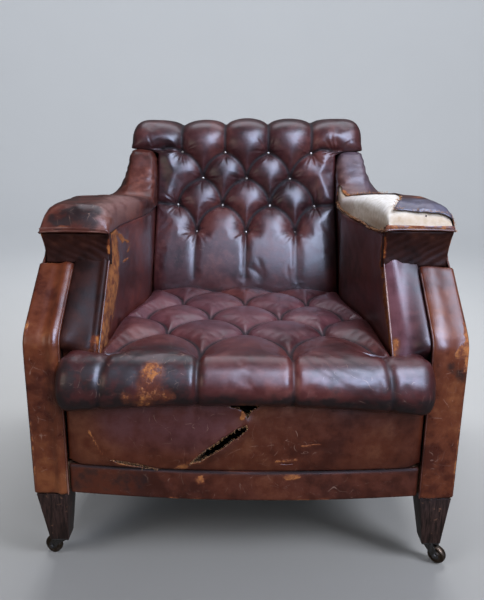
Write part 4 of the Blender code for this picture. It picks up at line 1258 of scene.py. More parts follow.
def fray_tree() -> GeometryTree:
    """Torn fibres that stand from the edge of a tear, each bent and turned its own way."""
    art = GeometryTree("torn_fibres", {
        "Spacing": ("NodeSocketFloat", 0.0016), "Length": ("NodeSocketFloat", 0.005),
        "Thickness": ("NodeSocketFloat", 0.0004), "Seed": ("NodeSocketInt", 1),
    })
    path = art.add("GeometryNodeMeshToCurve", links={"Mesh": art.inputs["Geometry"]})
    points = art.add("GeometryNodeResampleCurve", {"mode": "LENGTH"},
                     {"Curve": path.outputs[0], "Length": art.inputs["Spacing"]})
    fibre = art.add("GeometryNodeCurveQuadraticBezier", {
        "Resolution": 4, "Start": (0.0, 0.0, -0.1), "Middle": (0.05, 0.0, 0.55), "End": (0.45, 0.1, 1.0),
    })
    section = art.add("GeometryNodeCurvePrimitiveCircle", {"Resolution": 3, "Radius": 0.07})
    strand = art.add("GeometryNodeCurveToMesh", {"Fill Caps": True},
                     {"Curve": fibre.outputs[0], "Profile Curve": section.outputs[0]})
    aim = art.add("GeometryNodeInputNamedAttribute", {"data_type": "FLOAT_VECTOR", "Name": "aim"})
    turn = art.add("FunctionNodeAlignRotationToVector", {"axis": "Z"}, {"Vector": aim.outputs["Attribute"]})
    sway = art.add("FunctionNodeRandomValue", {"data_type": "FLOAT_VECTOR", 0: (-0.8, -0.8, -3.1),
                                               1: (0.8, 0.8, 3.1)}, {"Seed": art.inputs["Seed"]})
    swayed = art.add("FunctionNodeRotateRotation", {"rotation_space": "LOCAL"},
                     {"Rotation": turn.outputs["Rotation"], "Rotate By": sway.outputs[0]})
    reach = art.add("FunctionNodeRandomValue", {"data_type": "FLOAT", 2: 0.3, 3: 1.0},
                    {"Seed": art.inputs["Seed"]})
    size = art.add("ShaderNodeMath", {"operation": "MULTIPLY"},
                   {0: reach.outputs[1], 1: art.inputs["Length"]})
    strands = art.add("GeometryNodeInstanceOnPoints", links={
        "Points": points.outputs[0], "Instance": strand.outputs[0],
        "Rotation": swayed.outputs[0], "Scale": size.outputs[0],
    })
    return art.close(strands.outputs[0])


class Trimmings:
    """The trees that make welts, stitches, studs and torn fibres, shared by every sub-assembly."""

    def __init__(self) -> None:
        """Builds each tree once."""
        self.welt = welt_tree()
        self.stitch = stitch_tree()
        self.studding = studding_tree()
        self.fray = fray_tree()


# ---------------------------------------------------------------- the studio


@dataclass
class Studio:
    """A pale seamless bowl, soft lights overhead and the camera in front, a little above the seat."""

    floor_radius: float = 3.2
    bowl_radius: float = 5.0
    bowl_height: float = 4.5
    camera_place: Place = (-0.008, -1.4695, 0.839)
    camera_drop: float = 15.5
    camera_roll: float = 0.68
    lens: float = 38.3

    def build(self, finishes: Finishes) -> None:
        """Makes the stage, the lights and the camera."""
        bend = self.bowl_radius - self.floor_radius
        curve = [
            (self.floor_radius + bend * math.sin(a), bend * (1 - math.cos(a)))
            for a in np.linspace(0, math.pi / 2, 12)
        ]
        profile = [(1e-4, 0.0), (0.6, 0.0), (1.5, 0.0), *curve, (self.bowl_radius, self.bowl_height)]
        bowl = lathe("studio_bowl", profile, finishes["floor"], sides=96)
        bowl.visible_glossy = False
        bowl.visible_shadow = False
        self.light("key", (0.65, -1.30, 2.30), (0.0, -0.05, 0.45), (1.2, 1.0), 56.0, "#d2deff")
        self.light("over", (1.05, -0.55, 2.45), (0.15, -0.35, 0.45), (0.9, 0.8), 15.0, "#d6e4ff")
        self.light("top", (0.10, 0.95, 2.60), (0.0, 0.0, 0.4), (2.2, 1.2), 20.0, "#eef1ff")
        self.light("front", (0.95, -2.60, 1.90), (0.0, 0.0, 0.45), (0.9, 1.3), 72.0, "#c8d8ff")
        self.light("fill", (-1.9, -1.9, 1.3), (0.0, 0.0, 0.45), (1.2, 1.2), 7.0, "#fff0e0")
        self.light("floor_left", (-2.0, -1.2, 1.5), (-1.0, -0.6, 0.0), (0.9, 0.9), 11.0, "#fafaff")
        self.light("floor_right", (2.0, -1.2, 1.5), (1.0, -0.6, 0.0), (0.9, 0.9), 34.0, "#fafaff")
        self.light("floor", (0.1, 1.15, 2.40), (0.0, -1.5, 0.0), (2.4, 1.0), 68.0, "#fcfaf8")
        self.light("backdrop", (0.0, 1.7, 3.0), (0.0, 5.0, 0.9), (5.0, 1.2), 140.0, "#f8faff")
        world = bpy.data.worlds.new("studio_air")
        world.use_nodes = True
        world.node_tree.nodes["Background"].inputs["Color"].default_value = linear("#cfd2d6")
        world.node_tree.nodes["Background"].inputs["Strength"].default_value = 0.11
        bpy.context.scene.world = world
        self.camera()

    def light(self, name: str, place: Place, target: Place, size: Point, power: float, tint: str) -> None:
        """One rectangular soft box aimed at a target."""
        data = bpy.data.lights.new(name, "AREA")
        data.shape = "RECTANGLE"
        data.size, data.size_y = size
        data.energy = power
        data.color = linear(tint)[:3]
        lamp = bpy.data.objects.new(name, data)
        lamp.location = place
        lamp.rotation_euler = (Vector(target) - Vector(place)).to_track_quat("-Z", "Y").to_euler()
        bpy.context.scene.collection.objects.link(lamp)

    def aim_lights(self) -> None:
        """Keeps the floor's own light off the chair, and the lights that model the chair off the floor."""
        bowl, chair = bpy.data.collections.new("lit_bowl"), bpy.data.collections.new("lit_chair")
        for obj in bpy.context.scene.objects:
            if obj.type == "MESH":
                (bowl if obj.name == "studio_bowl" else chair).objects.link(obj)
        for lit, names in ((bowl, ("floor", "floor_left", "floor_right")),
                           (chair, ("front", "top", "key", "over"))):
            for name in names:
                bpy.data.objects[name].light_linking.receiver_collection = lit

    def camera(self) -> None:
        """The camera that frames the chair upright."""
        data = bpy.data.cameras.new("camera")
        data.lens = self.lens
        data.sensor_width = 36.0
        eye = bpy.data.objects.new("camera", data)
        drop = Matrix.Rotation(math.radians(90 - self.camera_drop), 4, "X")
        roll = Matrix.Rotation(math.radians(self.camera_roll), 4, "Z")
        eye.matrix_world = Matrix.Translation(self.camera_place) @ drop @ roll
        bpy.context.scene.collection.objects.link(eye)
        bpy.context.scene.camera = eye


def register(obj: bpy.types.Object, body: str, *nodes: str, slot: str | None = None,
             fill: float | None = None) -> bpy.types.Object:
    """Sets a finished piece on the frame.

    Args:
        obj: the piece.
        body: the body that it rides on.
        nodes: the frame's nodes that it stands for.
        slot: not used.
        fill: not used.

    Returns:
        The same piece.
    """
    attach(obj, body)
    if nodes:
        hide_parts(*nodes)
    LOG.info("%s: %d faces", obj.name, len(obj.data.polygons))
    return obj


# ---------------------------------------------------------------- the back


@dataclass
class Back:
    """The deep-buttoned back and its buttons."""

    body_top: float = 0.2325
    body_foot: float = 0.2420
    roll_half: float = 0.3030
    roll_foot: float = 0.7668
    rows: tuple[float, ...] = (0.768, 0.701, 0.635, 0.568)
    row_places: tuple[tuple[float, ...], ...] = (
        (-0.170, -0.057, 0.057, 0.170), (-0.115, 0.0, 0.115), (-0.180, -0.063, 0.063, 0.180),
        (-0.130, 0.0, 0.130),
    )
    end_button: float = 0.236
    button_radius: float = 0.0034

    def rear(self, z: float) -> float:
        """The depth of the pad's flat rear at a height."""
        return 0.2978 + (0.3393 - 0.2978) * (z - 0.3656) / (0.770 - 0.3656)

    def half_width(self, y: float, z: float) -> float:
        """Half of the pad's width: the body fits between the wings and the roll runs out over them."""
        body = self.body_foot + (self.body_top - self.body_foot) * (z - 0.3656) / 0.40
        share = float(smoothstep(z, self.roll_foot - 0.002, self.roll_foot + 0.003))
        return body + (self.roll_half - body) * share

    def behind(self, y: float, z: float) -> Point:
        """Where the pad's side runs back to from a place on its profile."""
        if z > self.roll_foot + 0.001 and y < 0.3838:
            return 0.285, 0.806
        return self.rear(z), z

    def rounding(self, y: float, z: float) -> float:
        """How far the pad's ends are rounded: tightly between the wings, fully along the roll."""
        return 0.010 + 0.020 * float(smoothstep(z, self.roll_foot + 0.004, self.roll_foot + 0.030))

    def pad(self) -> TuftedPad:
        """The pad's layout: diamonds on the face, lobes over the roll and channels at the foot."""
        profile = [
            (self.rear(0.3656), 0.3656), (0.200, 0.3656), (0.120, 0.3656), (0.098, 0.376), (0.090, 0.400),
            (0.090, 0.440), (0.098, 0.480), (0.113, 0.522), (0.136, 0.572), (0.158, 0.630), (0.178, 0.695),
            (0.186, 0.735), (0.1905, 0.770), (0.1945, 0.795), (0.203, 0.815),
            (0.216, 0.829), (0.236, 0.838), (0.264, 0.8418), (0.315, 0.8410), (0.352, 0.834), (0.374, 0.820),
            (0.3825, 0.800), (0.3835, 0.768),
        ]
        pad = TuftedPad("back_cushion", profile, self.half_width, self.behind, rounding=self.rounding, seed=4,
                        crown=0.0095, edge_depth=0.006, crease=0.0022, rays=15)
        low = pad.along_at(0, 0.100, high=0.30)
        crest = pad.along_at(0, 0.285, low=low + 0.3)
        levels = [pad.along_at(1, z, low=low + 0.02, high=crest) for z in self.rows]
        foot, rim = low + 0.006, float(pad.along[-1]) - 0.004
        pleats = pad.pleats
        for upper, lower, upper_t, lower_t in zip(self.row_places, self.row_places[1:], levels, levels[1:]):
            for a, b in itertools.product(upper, lower):
                if abs(a - b) < 0.075:
                    arch = 0.14 if b > a else -0.14
                    pleats.append(Pleat((a, upper_t), (b, lower_t), arch, (0.019, 0.0105, 0.019), 0.052))
        for x, deep in zip(self.row_places[0], (0.006, 0.011, 0.011, 0.0035)):
            pleats.append(Pleat((x, levels[0]), (x * 1.01, crest), 0.0, (0.019, 0.010, deep), 0.056))
            pleats.append(Pleat((x * 1.01, crest), (x, rim), 0.0, (deep, 0.006, 0.004), 0.050))
        for side in (-1, 1):
            outer, end = side * 0.170, side * self.end_button
            pleats.append(Pleat((outer, levels[0]), (end, levels[0]), 0.16 * side, (0.019, 0.013, 0.017)))
            pleats.append(Pleat((end, levels[0]), (side * 0.31, levels[0] + 0.004), 0.0,
                                (0.017, 0.013, 0.012), 0.030))
            pleats.append(Pleat((side * 0.180, levels[2]), (side * 0.245, levels[2] + 0.006), -0.05 * side,
                                (0.019, 0.008, 0.008)))
        channels = {-0.130: (0.016, -0.0062, -0.0076), 0.0: (0.016, -0.0066, -0.0082),
                    0.130: (0.016, -0.0082, -0.0092)}
        for x, depths in channels.items():
            pleats.append(Pleat((x, levels[3]), (x * 1.02, levels[3] - 0.125), 0.0, depths, 0.014, 0.60))
        pleats.append(Pleat((0.004, levels[3] - 0.098), (0.040, levels[3] - 0.120), 0.1,
                            (-0.0086, -0.0078, -0.0093), 0.012, 0.45))
        for places, level in zip(self.row_places, levels):
            pad.buttons += [(x, level) for x in places]
        pad.buttons += [(side * self.end_button, levels[0]) for side in (-1, 1)]
        return pad

    def build(self, finishes: Finishes, trims: Trimmings) -> None:
        """Makes the cushion and its buttons."""
        pad = self.pad()
        cushion = pad.build(finishes["oxblood"])
        settle(cushion, cap=0.0014, pressure=2.5, slack=0.004)
        subdivided(cushion)
        pad.etch(cushion)
        moved = places_of(cushion)
        tired = smoothstep(-moved[:, 0], -0.02, 0.20) * smoothstep(moved[:, 2], 0.765, 0.830)
        moved[:, 2] -= 0.0085 * tired
        cushion.data.vertices.foreach_set("co", (moved + (0.0, DATUM_Y, 0.0)).ravel())
        cushion.data.update()
        paint(cushion, self.wear())
        register(cushion, "chair", "tufted_back", slot="oxblood_leather", fill=0.75)
        self.buttons(pad, finishes, trims)

    def wear(self) -> list[Blot]:
        """Scratched at the top and on the fullest lobes, with painted shade darkening the foot where it meets
        the seat.
        """
        return [
            # Painted shade: near black along the foot where the back meets the seat.
            Blot(Mark.STAIN_AND_SHADE, ((-0.24, 0.10, 0.385), (0.24, 0.10, 0.385)), 0.075, 0.95),
            Blot(Mark.SCUFF, ((-0.22, 0.12, 0.50), (0.20, 0.12, 0.50)), 0.07, 0.35),
            Blot(Mark.SCUFF, ((0.15, 0.19, 0.80), (0.28, 0.22, 0.82)), 0.06, 0.7),
        ]

    def buttons(self, pad: TuftedPad, finishes: Finishes, trims: Trimmings) -> None:
        """Small domed buttons at the foot of each tuft."""
        r = self.button_radius
        dome = [(1e-5, 0.55 * r), (0.5 * r, 0.48 * r), (0.85 * r, 0.25 * r), (r, 0.0), (0.9 * r, -0.3 * r),
                (1e-5, -0.3 * r)]
        shape = lathe("button_shape", dome, finishes["button"], sides=14)
        runs = []
        for x, t in pad.buttons:
            index = int(np.argmin(np.abs(pad.along - t)))
            normal = pad.normals[index]
            sunk = pad.line[index] - normal * 0.0182
            runs.append(Run(np.array([(x, *sunk)]), np.array([(0.0, *normal)])))
        studs = trims.studding.grow(runs_object("back_buttons", runs), finishes["button"], Shape=shape)
        bpy.data.objects.remove(shape, do_unlink=True)
        register(studs, "chair")


# ---------------------------------------------------------------- the seat


def seat_inner(y: np.ndarray | float) -> np.ndarray | float:
    """The half width that the inside arms leave at a depth."""
    ease = smoothstep(y, -0.23, 0.02)
    return 0.2697 - 0.0340 * ease


@dataclass
class Seat:
    """The deep-buttoned seat with its roll across the front of the arms."""

    roll_half: float = 0.3400
    junction: float = -0.4158
    rows: tuple[float, ...] = (0.060, -0.055, -0.169, -0.271, -0.417)
    row_places: tuple[tuple[float, ...], ...] = (
        (-0.215, -0.075, 0.075, 0.215), (-0.149, 0.0, 0.149), (-0.220, -0.078, 0.078, 0.220),
        (-0.163, 0.0, 0.163), (-0.247, -0.085, 0.085, 0.247),
    )
    roll_centre: Point = (-0.448, 0.392)

    def half_width(self, y: float, z: float) -> float:
        """Half of the pad's width: between the arms, then out across the posts along the roll."""
        if y > 0.055:
            return 0.2352 - 0.0232 * min((y - 0.055) / 0.028, 1.0)
        body = float(seat_inner(y))
        behind_posts = self.roll_half - 0.0060
        roll = behind_posts + (self.roll_half - behind_posts) * float(smoothstep(y, -0.4400, -0.4440))
        return body + (roll - body) * float(smoothstep(y, self.junction + 0.0020, self.junction - 0.0020))

    def rounding(self, y: float, z: float) -> float:
        """How far the pad's ends are rounded: fully along the roll."""
        return 0.008 + 0.014 * float(smoothstep(y, self.junction, self.junction - 0.006))

    def behind(self, y: float, z: float) -> Point:
        """Where the pad's side runs to from a place on its profile."""
        if y < self.junction - 0.0005:
            return self.roll_centre
        return y, 0.3668

    def fit_roll(self, places: np.ndarray) -> np.ndarray:
        """Drops the roll's underside towards its ends, where the border's top edge arches down."""
        x, y, z = places.T
        drop = BORDER_ARCH * np.minimum((x / BORDER_HALF) ** 2, 1.05)
        depth = (ROLL_TOP - z) / (ROLL_TOP - 0.3582)
        on_roll = smoothstep(y, self.junction + 0.004, self.junction - 0.004)
        lowered = z - drop * np.clip(depth, 0.0, 1.0) * on_roll
        return np.stack([x, y, lowered], axis=1)

    def pad(self) -> TuftedPad:
        """The pad's layout: shallow diamonds and straight creases down the roll."""
        profile = [
            (0.083, 0.3668), (0.083, 0.404), (0.078, 0.418), (0.060, 0.4245), (-0.10, 0.4255),
            (-0.30, 0.4262),
            (-0.400, 0.4280), (-0.430, 0.4285), (-0.452, 0.4257), (-0.471, 0.4155), (-0.482, 0.4010),
            (-0.4855, 0.3860), (-0.4820, 0.3710), (-0.4700, 0.3600), (-0.4400, 0.3584), (-0.4160, 0.3582),
        ]
        pad = TuftedPad("seat_cushion", profile, self.half_width, self.behind, rounding=self.rounding, seed=9,
                        crown=0.0085, edge_depth=0.008, edge_reach=0.030, crease=0.0010, rays=11)
        levels = [pad.along_at(0, y, low=0.03, high=0.56) for y in self.rows]
        rim = float(pad.along[-1]) - 0.030
        depths = (0.019, 0.0115, 0.019)
        for near, far, near_t, far_t in zip(self.row_places[1:], self.row_places, levels[1:], levels):
            for a, b in itertools.product(far, near):
                if abs(a - b) < 0.100:
                    arch = 0.14 if b > a else -0.14
                    pad.pleats.append(Pleat((a, far_t), (b, near_t), -arch, depths, 0.058))
        for x in self.row_places[-1]:
            inner = abs(x) < 0.1
            depths = (0.017 if inner else 0.008, 0.0005 if inner else -0.0030, -0.0030)
            pad.pleats.append(Pleat((x, levels[-1]), (x * (1.0 if inner else 1.075), rim), 0.0, depths,
                                    0.014, 0.65))
        # Creases that leave the swell as it is: each is a faint groove whose darkness is painted shade.
        flush = (-pad.crown,) * 3
        near = levels[-1]
        for start, end, arch in (((0.108, 0.030), (0.150, 0.066), 0.10),
                                 ((0.136, 0.020), (0.196, 0.060), 0.12),
                                 ((0.168, 0.016), (0.222, 0.052), 0.10),
                                 ((0.140, 0.044), (0.184, 0.080), 0.08),
                                 ((-0.112, 0.034), (-0.150, 0.060), -0.10),
                                 ((-0.196, 0.022), (-0.222, 0.058), -0.08)):
            pad.pleats.append(Pleat((start[0], near + start[1]), (end[0], near + end[1]), arch, flush,
                                    0.006, 0.42))
        for side in (-1, 1):
            pad.pleats.append(Pleat((side * 0.220, levels[2]), (side * 0.275, levels[2] + 0.004), 0.0,
                                    (0.014, 0.008, 0.008)))
            pad.pleats.append(Pleat((side * 0.247, levels[-1]), (side * 0.285, levels[-1] - 0.012), 0.0,
                                    (0.012, 0.007, 0.008)))
        for places, level in zip(self.row_places[1:], levels[1:]):
            pad.buttons += [(x, level) for x in places]
        return pad

    def build(self, finishes: Finishes) -> None:
        """Makes the seat and paints its wear."""
        pad = self.pad()
        cushion = pad.build(finishes["seat"])
        moved = self.fit_roll(places_of(cushion)) + (0.0, DATUM_Y, 0.0)
        cushion.data.vertices.foreach_set("co", moved.ravel())
        settle(cushion, cap=0.0010, pressure=2.2, slack=0.003)
        subdivided(cushion)
        pad.etch(cushion)
        paint(cushion, self.wear())
        register(cushion, "chair", "tufted_seat", "seat_stuffing", slot="oxblood_leather", fill=0.55)

    def wear(self) -> list[Blot]:
        """Rubbed through on the left of the roll, blackened by hands at both ends, with painted shade along
        the roll's underside.
        """
        return [
            Blot(Mark.WORN, ((-0.163, -0.470, 0.410), (-0.168, -0.482, 0.395), (-0.178, -0.482, 0.374)),
                 0.040, 0.62),
            Blot(Mark.WORN, ((-0.205, -0.480, 0.376), (-0.140, -0.484, 0.378)), 0.026, 0.56),
            Blot(Mark.WORN, ((0.10, -0.480, 0.398), (0.12, -0.482, 0.392)), 0.014, 0.40),
            Blot(Mark.STAIN_AND_SHADE, ((-0.330, -0.470, 0.395), (-0.220, -0.475, 0.405), (-0.110, -0.470, 0.410)),
                 0.075, 0.78),
            Blot(Mark.STAIN_AND_SHADE, ((-0.210, -0.440, 0.432), (-0.130, -0.420, 0.432)), 0.060, 0.62),
            # Painted shade: darkens the underside of the roll along its whole width.
            Blot(Mark.STAIN_AND_SHADE, ((-0.330, -0.480, 0.360), (0.330, -0.480, 0.360)), 0.040, 0.85),
            Blot(Mark.STAIN_AND_SHADE, ((0.130, -0.475, 0.405), (0.330, -0.470, 0.395)), 0.055, 0.50),
            Blot(Mark.FADE, ((-0.20, -0.10, 0.43), (0.0, -0.20, 0.43), (0.18, -0.08, 0.43)), 0.22, 0.38),
            Blot(Mark.SCUFF, ((-0.29, -0.46, 0.42), (-0.14, -0.45, 0.42)), 0.09, 0.9),
            Blot(Mark.SCUFF, ((0.10, -0.44, 0.42), (0.26, -0.46, 0.41)), 0.10, 0.7),
            Blot(Mark.SCUFF, ((0.0, -0.30, 0.43),), 0.20, 0.35),
        ]


# ---------------------------------------------------------------- arms and wings


@dataclass
class ArmShape:
    """The stuffed arm and the wing that it sweeps up into, on the right side."""

    inner_front: float = 0.2695
    outer: float = 0.3980
    crown: float = 0.0500
    least_crown: float = 0.006
    fall: float = 0.115
    fall_start: float = -0.100
    nose: float = -0.3000
    nose_radius: float = 0.046
    wing_start: float = 0.075
    wing_full: float = 0.197
    rear: float = 0.3615
    blunt: float = 0.40
    section: tuple[Place, ...] = (
        (0.000, 0.00, 0.00), (0.000, 0.46, 0.45), (0.020, 0.74, 0.85), (0.090, 0.92, 0.985),
        (0.220, 1.00, 1.00), (0.350, 1.00, 0.99), (0.400, 1.00, 0.95), (0.440, 1.00, 0.76),
        (0.490, 1.00, 0.52), (0.570, 1.00, 0.26), (0.680, 1.00, 0.08), (0.830, 0.98, 0.00),
        (0.940, 0.86, 0.00), (0.990, 0.54, 0.00), (1.000, 0.00, 0.00),
    )

    def crown_height(self, y: float) -> float:
        """How high the crown stands over the arm's base: rounded at the nose, falling to the rear."""
        start = self.nose + self.nose_radius - 0.001
        if y >= start:
            return max(self.crown - self.fall * max(0.0, y - self.fall_start), self.least_crown)
        lean = min(1.0, (start - y) / self.nose_radius)
        return self.crown * math.sqrt(1 - lean ** 2) + 0.002

    def wing_share(self, y: float) -> float:
        """0 along the arm, 1 where the wing is at its full height."""
        return float(smoothstep(y, self.wing_start, self.wing_full))

    def row(self, y: float, grow: float, count: int) -> np.ndarray:
        """The section at a depth as count points of x and z, grown outwards, from inner to outer foot."""
        share, crown = self.wing_share(y), self.crown_height(y)
        inner = self.inner_front + (WING_INNER - self.inner_front) * float(smoothstep(y, -0.23, 0.02))
        wing = (WING_TOP - ARM_BASE - crown) * share
        blunt = self.blunt * float(smoothstep(y, self.nose + 0.085, self.nose + 0.008))
        last = len(self.section) - 1
        points = []
        for i, (across, arm_share, wing_part) in enumerate(self.section):
            angle = math.pi * (1 - i / last)
            dome = math.sqrt(max(0.0, 1 - (2 * across - 1) ** 2)) ** 0.85
            arm_share = arm_share * (1 - blunt) + min(arm_share, dome) * blunt
            points.append((
                inner + (self.outer - inner) * across + grow * math.cos(angle),
                ARM_BASE + crown * arm_share + wing * wing_part + grow * math.sin(angle),
            ))
        return smooth_line(points, count)

    def skin(self, grow: float, count: int = 56, step: float = 0.005) -> np.ndarray:
        """The surface over arm and wing, as a grid from the lip of the nose to the rear."""
        front = -grow
        rows = []
        first = self.row(self.nose, grow, count)
        for share, bulge in ((0.06, -0.0002), (0.30, -0.0014), (0.60, -0.0018), (0.85, -0.0012)):
            z = ARM_BASE + 0.002 + (first[:, 1] - ARM_BASE) * share
            rows.append(np.stack([first[:, 0], np.full(count, self.nose + front + bulge), z], axis=1))
        near = self.nose + np.array([0.0, 0.0012, 0.0035, 0.007, 0.0115, 0.017, 0.0235, 0.031, 0.039, 0.047])
        far = np.linspace(self.nose + 0.052, self.rear, int((self.rear - self.nose - 0.052) / step))
        for y in (*near, *far):
            line = self.row(float(y), grow, count)
            lead = front * max(0.0, 1 - (y - self.nose) / 0.04)
            rows.append(np.stack([line[:, 0], np.full(count, y + lead), line[:, 1]], axis=1))
        return np.array(rows)


@dataclass
class Arm:
    """One arm: its covered top and wing, the inside panel, the front and the outside."""

    side_name: str
    shape: ArmShape = field(default_factory=ArmShape)
    hide: float = 0.0022

    def __post_init__(self) -> None:
        """Notes which way is outwards; the torn arm stands a little fuller."""
        self.side = SIDES[self.side_name]
        if self.side_name == "right":
            self.shape = ArmShape(crown=0.060, blunt=0.10)
            self.hide = 0.0013

    def mirrored(self, grid: np.ndarray) -> np.ndarray:
        """A grid made for the right, on this side."""
        return grid * (self.side, 1.0, 1.0)

    def wrinkled(self, grid: np.ndarray, seed: int) -> np.ndarray:
        """Long swells over the arm, and soft folds across the front of the wing."""
        normal = face_normals(grid, (0.0, -0.2, 1.0))
        x, y, z = grid[..., 0], grid[..., 1], grid[..., 2]
        swell = 0.0012 * lattice_noise(grid, 0.060, seed)
        on_wing = smoothstep(z, 0.655, 0.69) * smoothstep(z, 0.775, 0.755)
        phase = z / 0.0125 + 1.4 * lattice_noise(grid, 0.035, seed + 5) + 6.0 * (x * self.side - 0.3)
        fold = on_wing * 0.0011 * np.sin(phase * 2 * math.pi / 1.6)
        steady = smoothstep(z, ARM_BASE + 0.002, ARM_BASE + 0.02)
        return grid + normal * ((swell + fold) * steady)[..., None]

    def raised(self, grid: np.ndarray) -> np.ndarray:
        """Lifts the torn arm's lip, which has ridden up over the nose."""
        if self.side_name == "left":
            return grid
        low = np.clip(1 - (grid[..., 2] - ARM_BASE) / 0.050, 0.0, 1.0)
        lift = 0.0125 * smoothstep(grid[..., 1], -0.225, -0.285) * low
        return grid + np.stack([0 * lift, 0 * lift, lift], axis=-1)

    def build(self, finishes: Finishes, trims: Trimmings) -> None:
        """Makes every piece of this arm."""
        self.cover(finishes, trims)
        self.inside(finishes)
        self.front(finishes, trims)
        self.outside(finishes)

    def notch(self) -> bpy.types.Object:
        """The room for the back's upright inside the wing."""
        low, high = sorted((self.side * 0.222, self.side * 0.2885))
        outline = np.array([(low, 0.3255), (high, 0.3255), (high, 0.42), (low, 0.42)])
        return prism(outline, (0, 1), 0.60, 0.80)

    def cover(self, finishes: Finishes, trims: Trimmings) -> None:
        """The hide over the arm and up the wing; the right one is torn open over its wadding."""
        grid = self.raised(self.wrinkled(self.mirrored(self.shape.skin(0.0029)), 21 + self.side))
        name = f"arm_cover_{self.side_name}"
        cutters = [self.notch()]
        if self.side_name == "right":
            grid = self.lifted_flap(grid)
            cutters += [prism(ragged(outline, 0.0013, 31 + i), (0, 1), low, 0.72)
                        for i, (outline, low) in enumerate(zip(self.tears(), (0.60, 0.6532)))]
            self.torn_rims(grid, finishes, trims)
        finish = finishes["torn" if self.side_name == "right" else "arm"]
        cover = torn(hide_sheet(name + "_hide", grid, self.hide, (0.0, -0.2, 1.0), finish), cutters)
        paint(cover, self.cover_wear())
        nodes = [name] if self.side_name == "right" else [name, f"arm_pad_{self.side_name}"]
        register(cover, "chair", *nodes, slot="oxblood_leather", fill=0.7)
        if self.side_name == "right":
            self.wadding(finishes)

    def tears(self) -> list[list[Point]]:
        """Where the right arm's hide has torn away, in plan: along the inner seam and over the nose."""
        return [
            [(0.225, 0.134), (0.2365, 0.128), (0.2465, 0.092), (0.2580, 0.062), (0.2700, 0.034),
             (0.288, 0.016),
             (0.308, -0.006), (0.322, -0.045), (0.330, -0.095), (0.328, -0.140), (0.320, -0.180),
             (0.309, -0.225), (0.296, -0.262), (0.283, -0.2845), (0.300, -0.2880), (0.318, -0.2900),
             (0.335, -0.2920), (0.356, -0.2940), (0.380, -0.2955), (0.405, -0.2960),
             (0.405, -0.3000), (0.330, -0.3000), (0.276, -0.3000), (0.240, -0.3000)],
            [(0.255, -0.2972), (0.406, -0.2974), (0.406, -0.3110), (0.255, -0.3110)],
        ]

    def torn_rims(self, grid: np.ndarray, finishes: Finishes, trims: Trimmings) -> None:
        """The brown edge that has rolled over along the inner seam, and torn fibres along the openings."""
        rolled = smooth_line([
            (0.2350, 0.118, 0.6465), (0.2345, 0.080, 0.6400), (0.2375, 0.020, 0.6345),
            (0.2420, -0.040, 0.6330),
            (0.2500, -0.110, 0.6325), (0.2600, -0.180, 0.6290), (0.2665, -0.235, 0.6300),
            (0.2690, -0.292, 0.6400),
        ], 60)
        rolled += np.array([0.0012, 0.0, 0.0022]) * lattice_noise(rolled, 0.020, 83)[:, None]
        away = np.array((-0.8, 0.0, 0.6))
        welt = trims.welt.grow(runs_object("torn_rolled_rim", [Run(rolled, away)]), finishes["rim"],
                               Radius=0.0030)
        register(welt, "chair", slot="oxblood_leather")
        flat = grid[..., :2].reshape(-1, 2)
        tops = grid[..., 2].ravel()
        runs = [Run(rolled + away * 0.002, away)]
        for first, last in ((2, 8), (10, 15), (15, 21)):
            edge = smooth_line(self.tears()[0][first:last], 30)
            z = np.array([tops[np.argmin(np.hypot(*(flat - point).T))] for point in edge])
            runs.append(Run(np.column_stack([edge, z + 0.0006]), np.array((-0.3, -0.5, 0.8))))
        fibres = trims.fray.grow(runs_object("arm_torn_fibres", runs), finishes["fibre"], Length=0.0060,
                                 Spacing=0.0016, Seed=12)
        register(fibres, "chair")

    def lifted_flap(self, grid: np.ndarray) -> np.ndarray:
        """Curls the hide up where it has come loose beside the tear."""
        loose = np.array([(0.296, -0.262), (0.290, -0.284), (0.330, -0.2890), (0.385, -0.2910)])
        gap, _ = distance_to_path(grid[..., :2], loose)
        lift = 0.0042 * np.exp(-(gap / 0.016) ** 2) * smoothstep(grid[..., 2], 0.650, 0.662)
        edge, _ = distance_to_path(grid[..., :2], np.array([(0.270, 0.034), (0.308, -0.006), (0.322, -0.045),
                                                            (0.330, -0.110), (0.312, -0.221)]))
        lift = np.maximum(lift, 0.0022 * np.exp(-(edge / 0.010) ** 2))
        return grid + face_normals(grid, (0.0, -0.2, 1.0)) * lift[..., None]

    def wadding(self, finishes: Finishes) -> None:
        """The calico-covered pad that shows through the torn hide."""
        grid = self.raised(self.mirrored(self.shape.skin(-0.0004, 44, 0.007)))
        gap, _ = distance_to_path(grid[..., :2], np.array([(0.300, -0.21), (0.312, -0.10), (0.300, -0.02)]))
        proud = 0.0024 * np.exp(-(gap / 0.030) ** 2) + 0.0006 * lattice_noise(grid, 0.018, 77)
        # Away from the tear the pad lies well under the hide, so that it never shows through a wrinkle.
        open_gap, _ = distance_to_path(grid[..., :2], np.array([
            (0.245, 0.110), (0.285, 0.0), (0.300, -0.12), (0.295, -0.24), (0.390, -0.297)]))
        proud -= 0.0042 * smoothstep(open_gap, 0.034, 0.062)
        grid = grid + face_normals(grid, (0.0, -0.2, 1.0)) * proud[..., None]
        obj = mesh_object("arm_wadding_right", grid, grid_faces(*grid.shape[:2]), finishes["calico"])
        torn(mend(obj, close=True), [self.notch()])
        paint(obj, [
            Blot(Mark.STAIN_AND_SHADE, ((0.27, -0.28, 0.64), (0.272, -0.12, 0.640), (0.262, 0.05, 0.64)), 0.016, 0.8),
            Blot(Mark.STAIN_AND_SHADE, ((0.29, -0.299, 0.660), (0.34, -0.299, 0.662), (0.40, -0.299, 0.655)), 0.026,
                 0.62),
            Blot(Mark.STAIN_AND_SHADE, ((0.240, 0.110, 0.650), (0.250, 0.030, 0.648), (0.268, -0.030, 0.652)), 0.042,
                 0.80),
        ])
        register(obj, "chair", "arm_pad_right", slot="calico_wadding", fill=0.8)

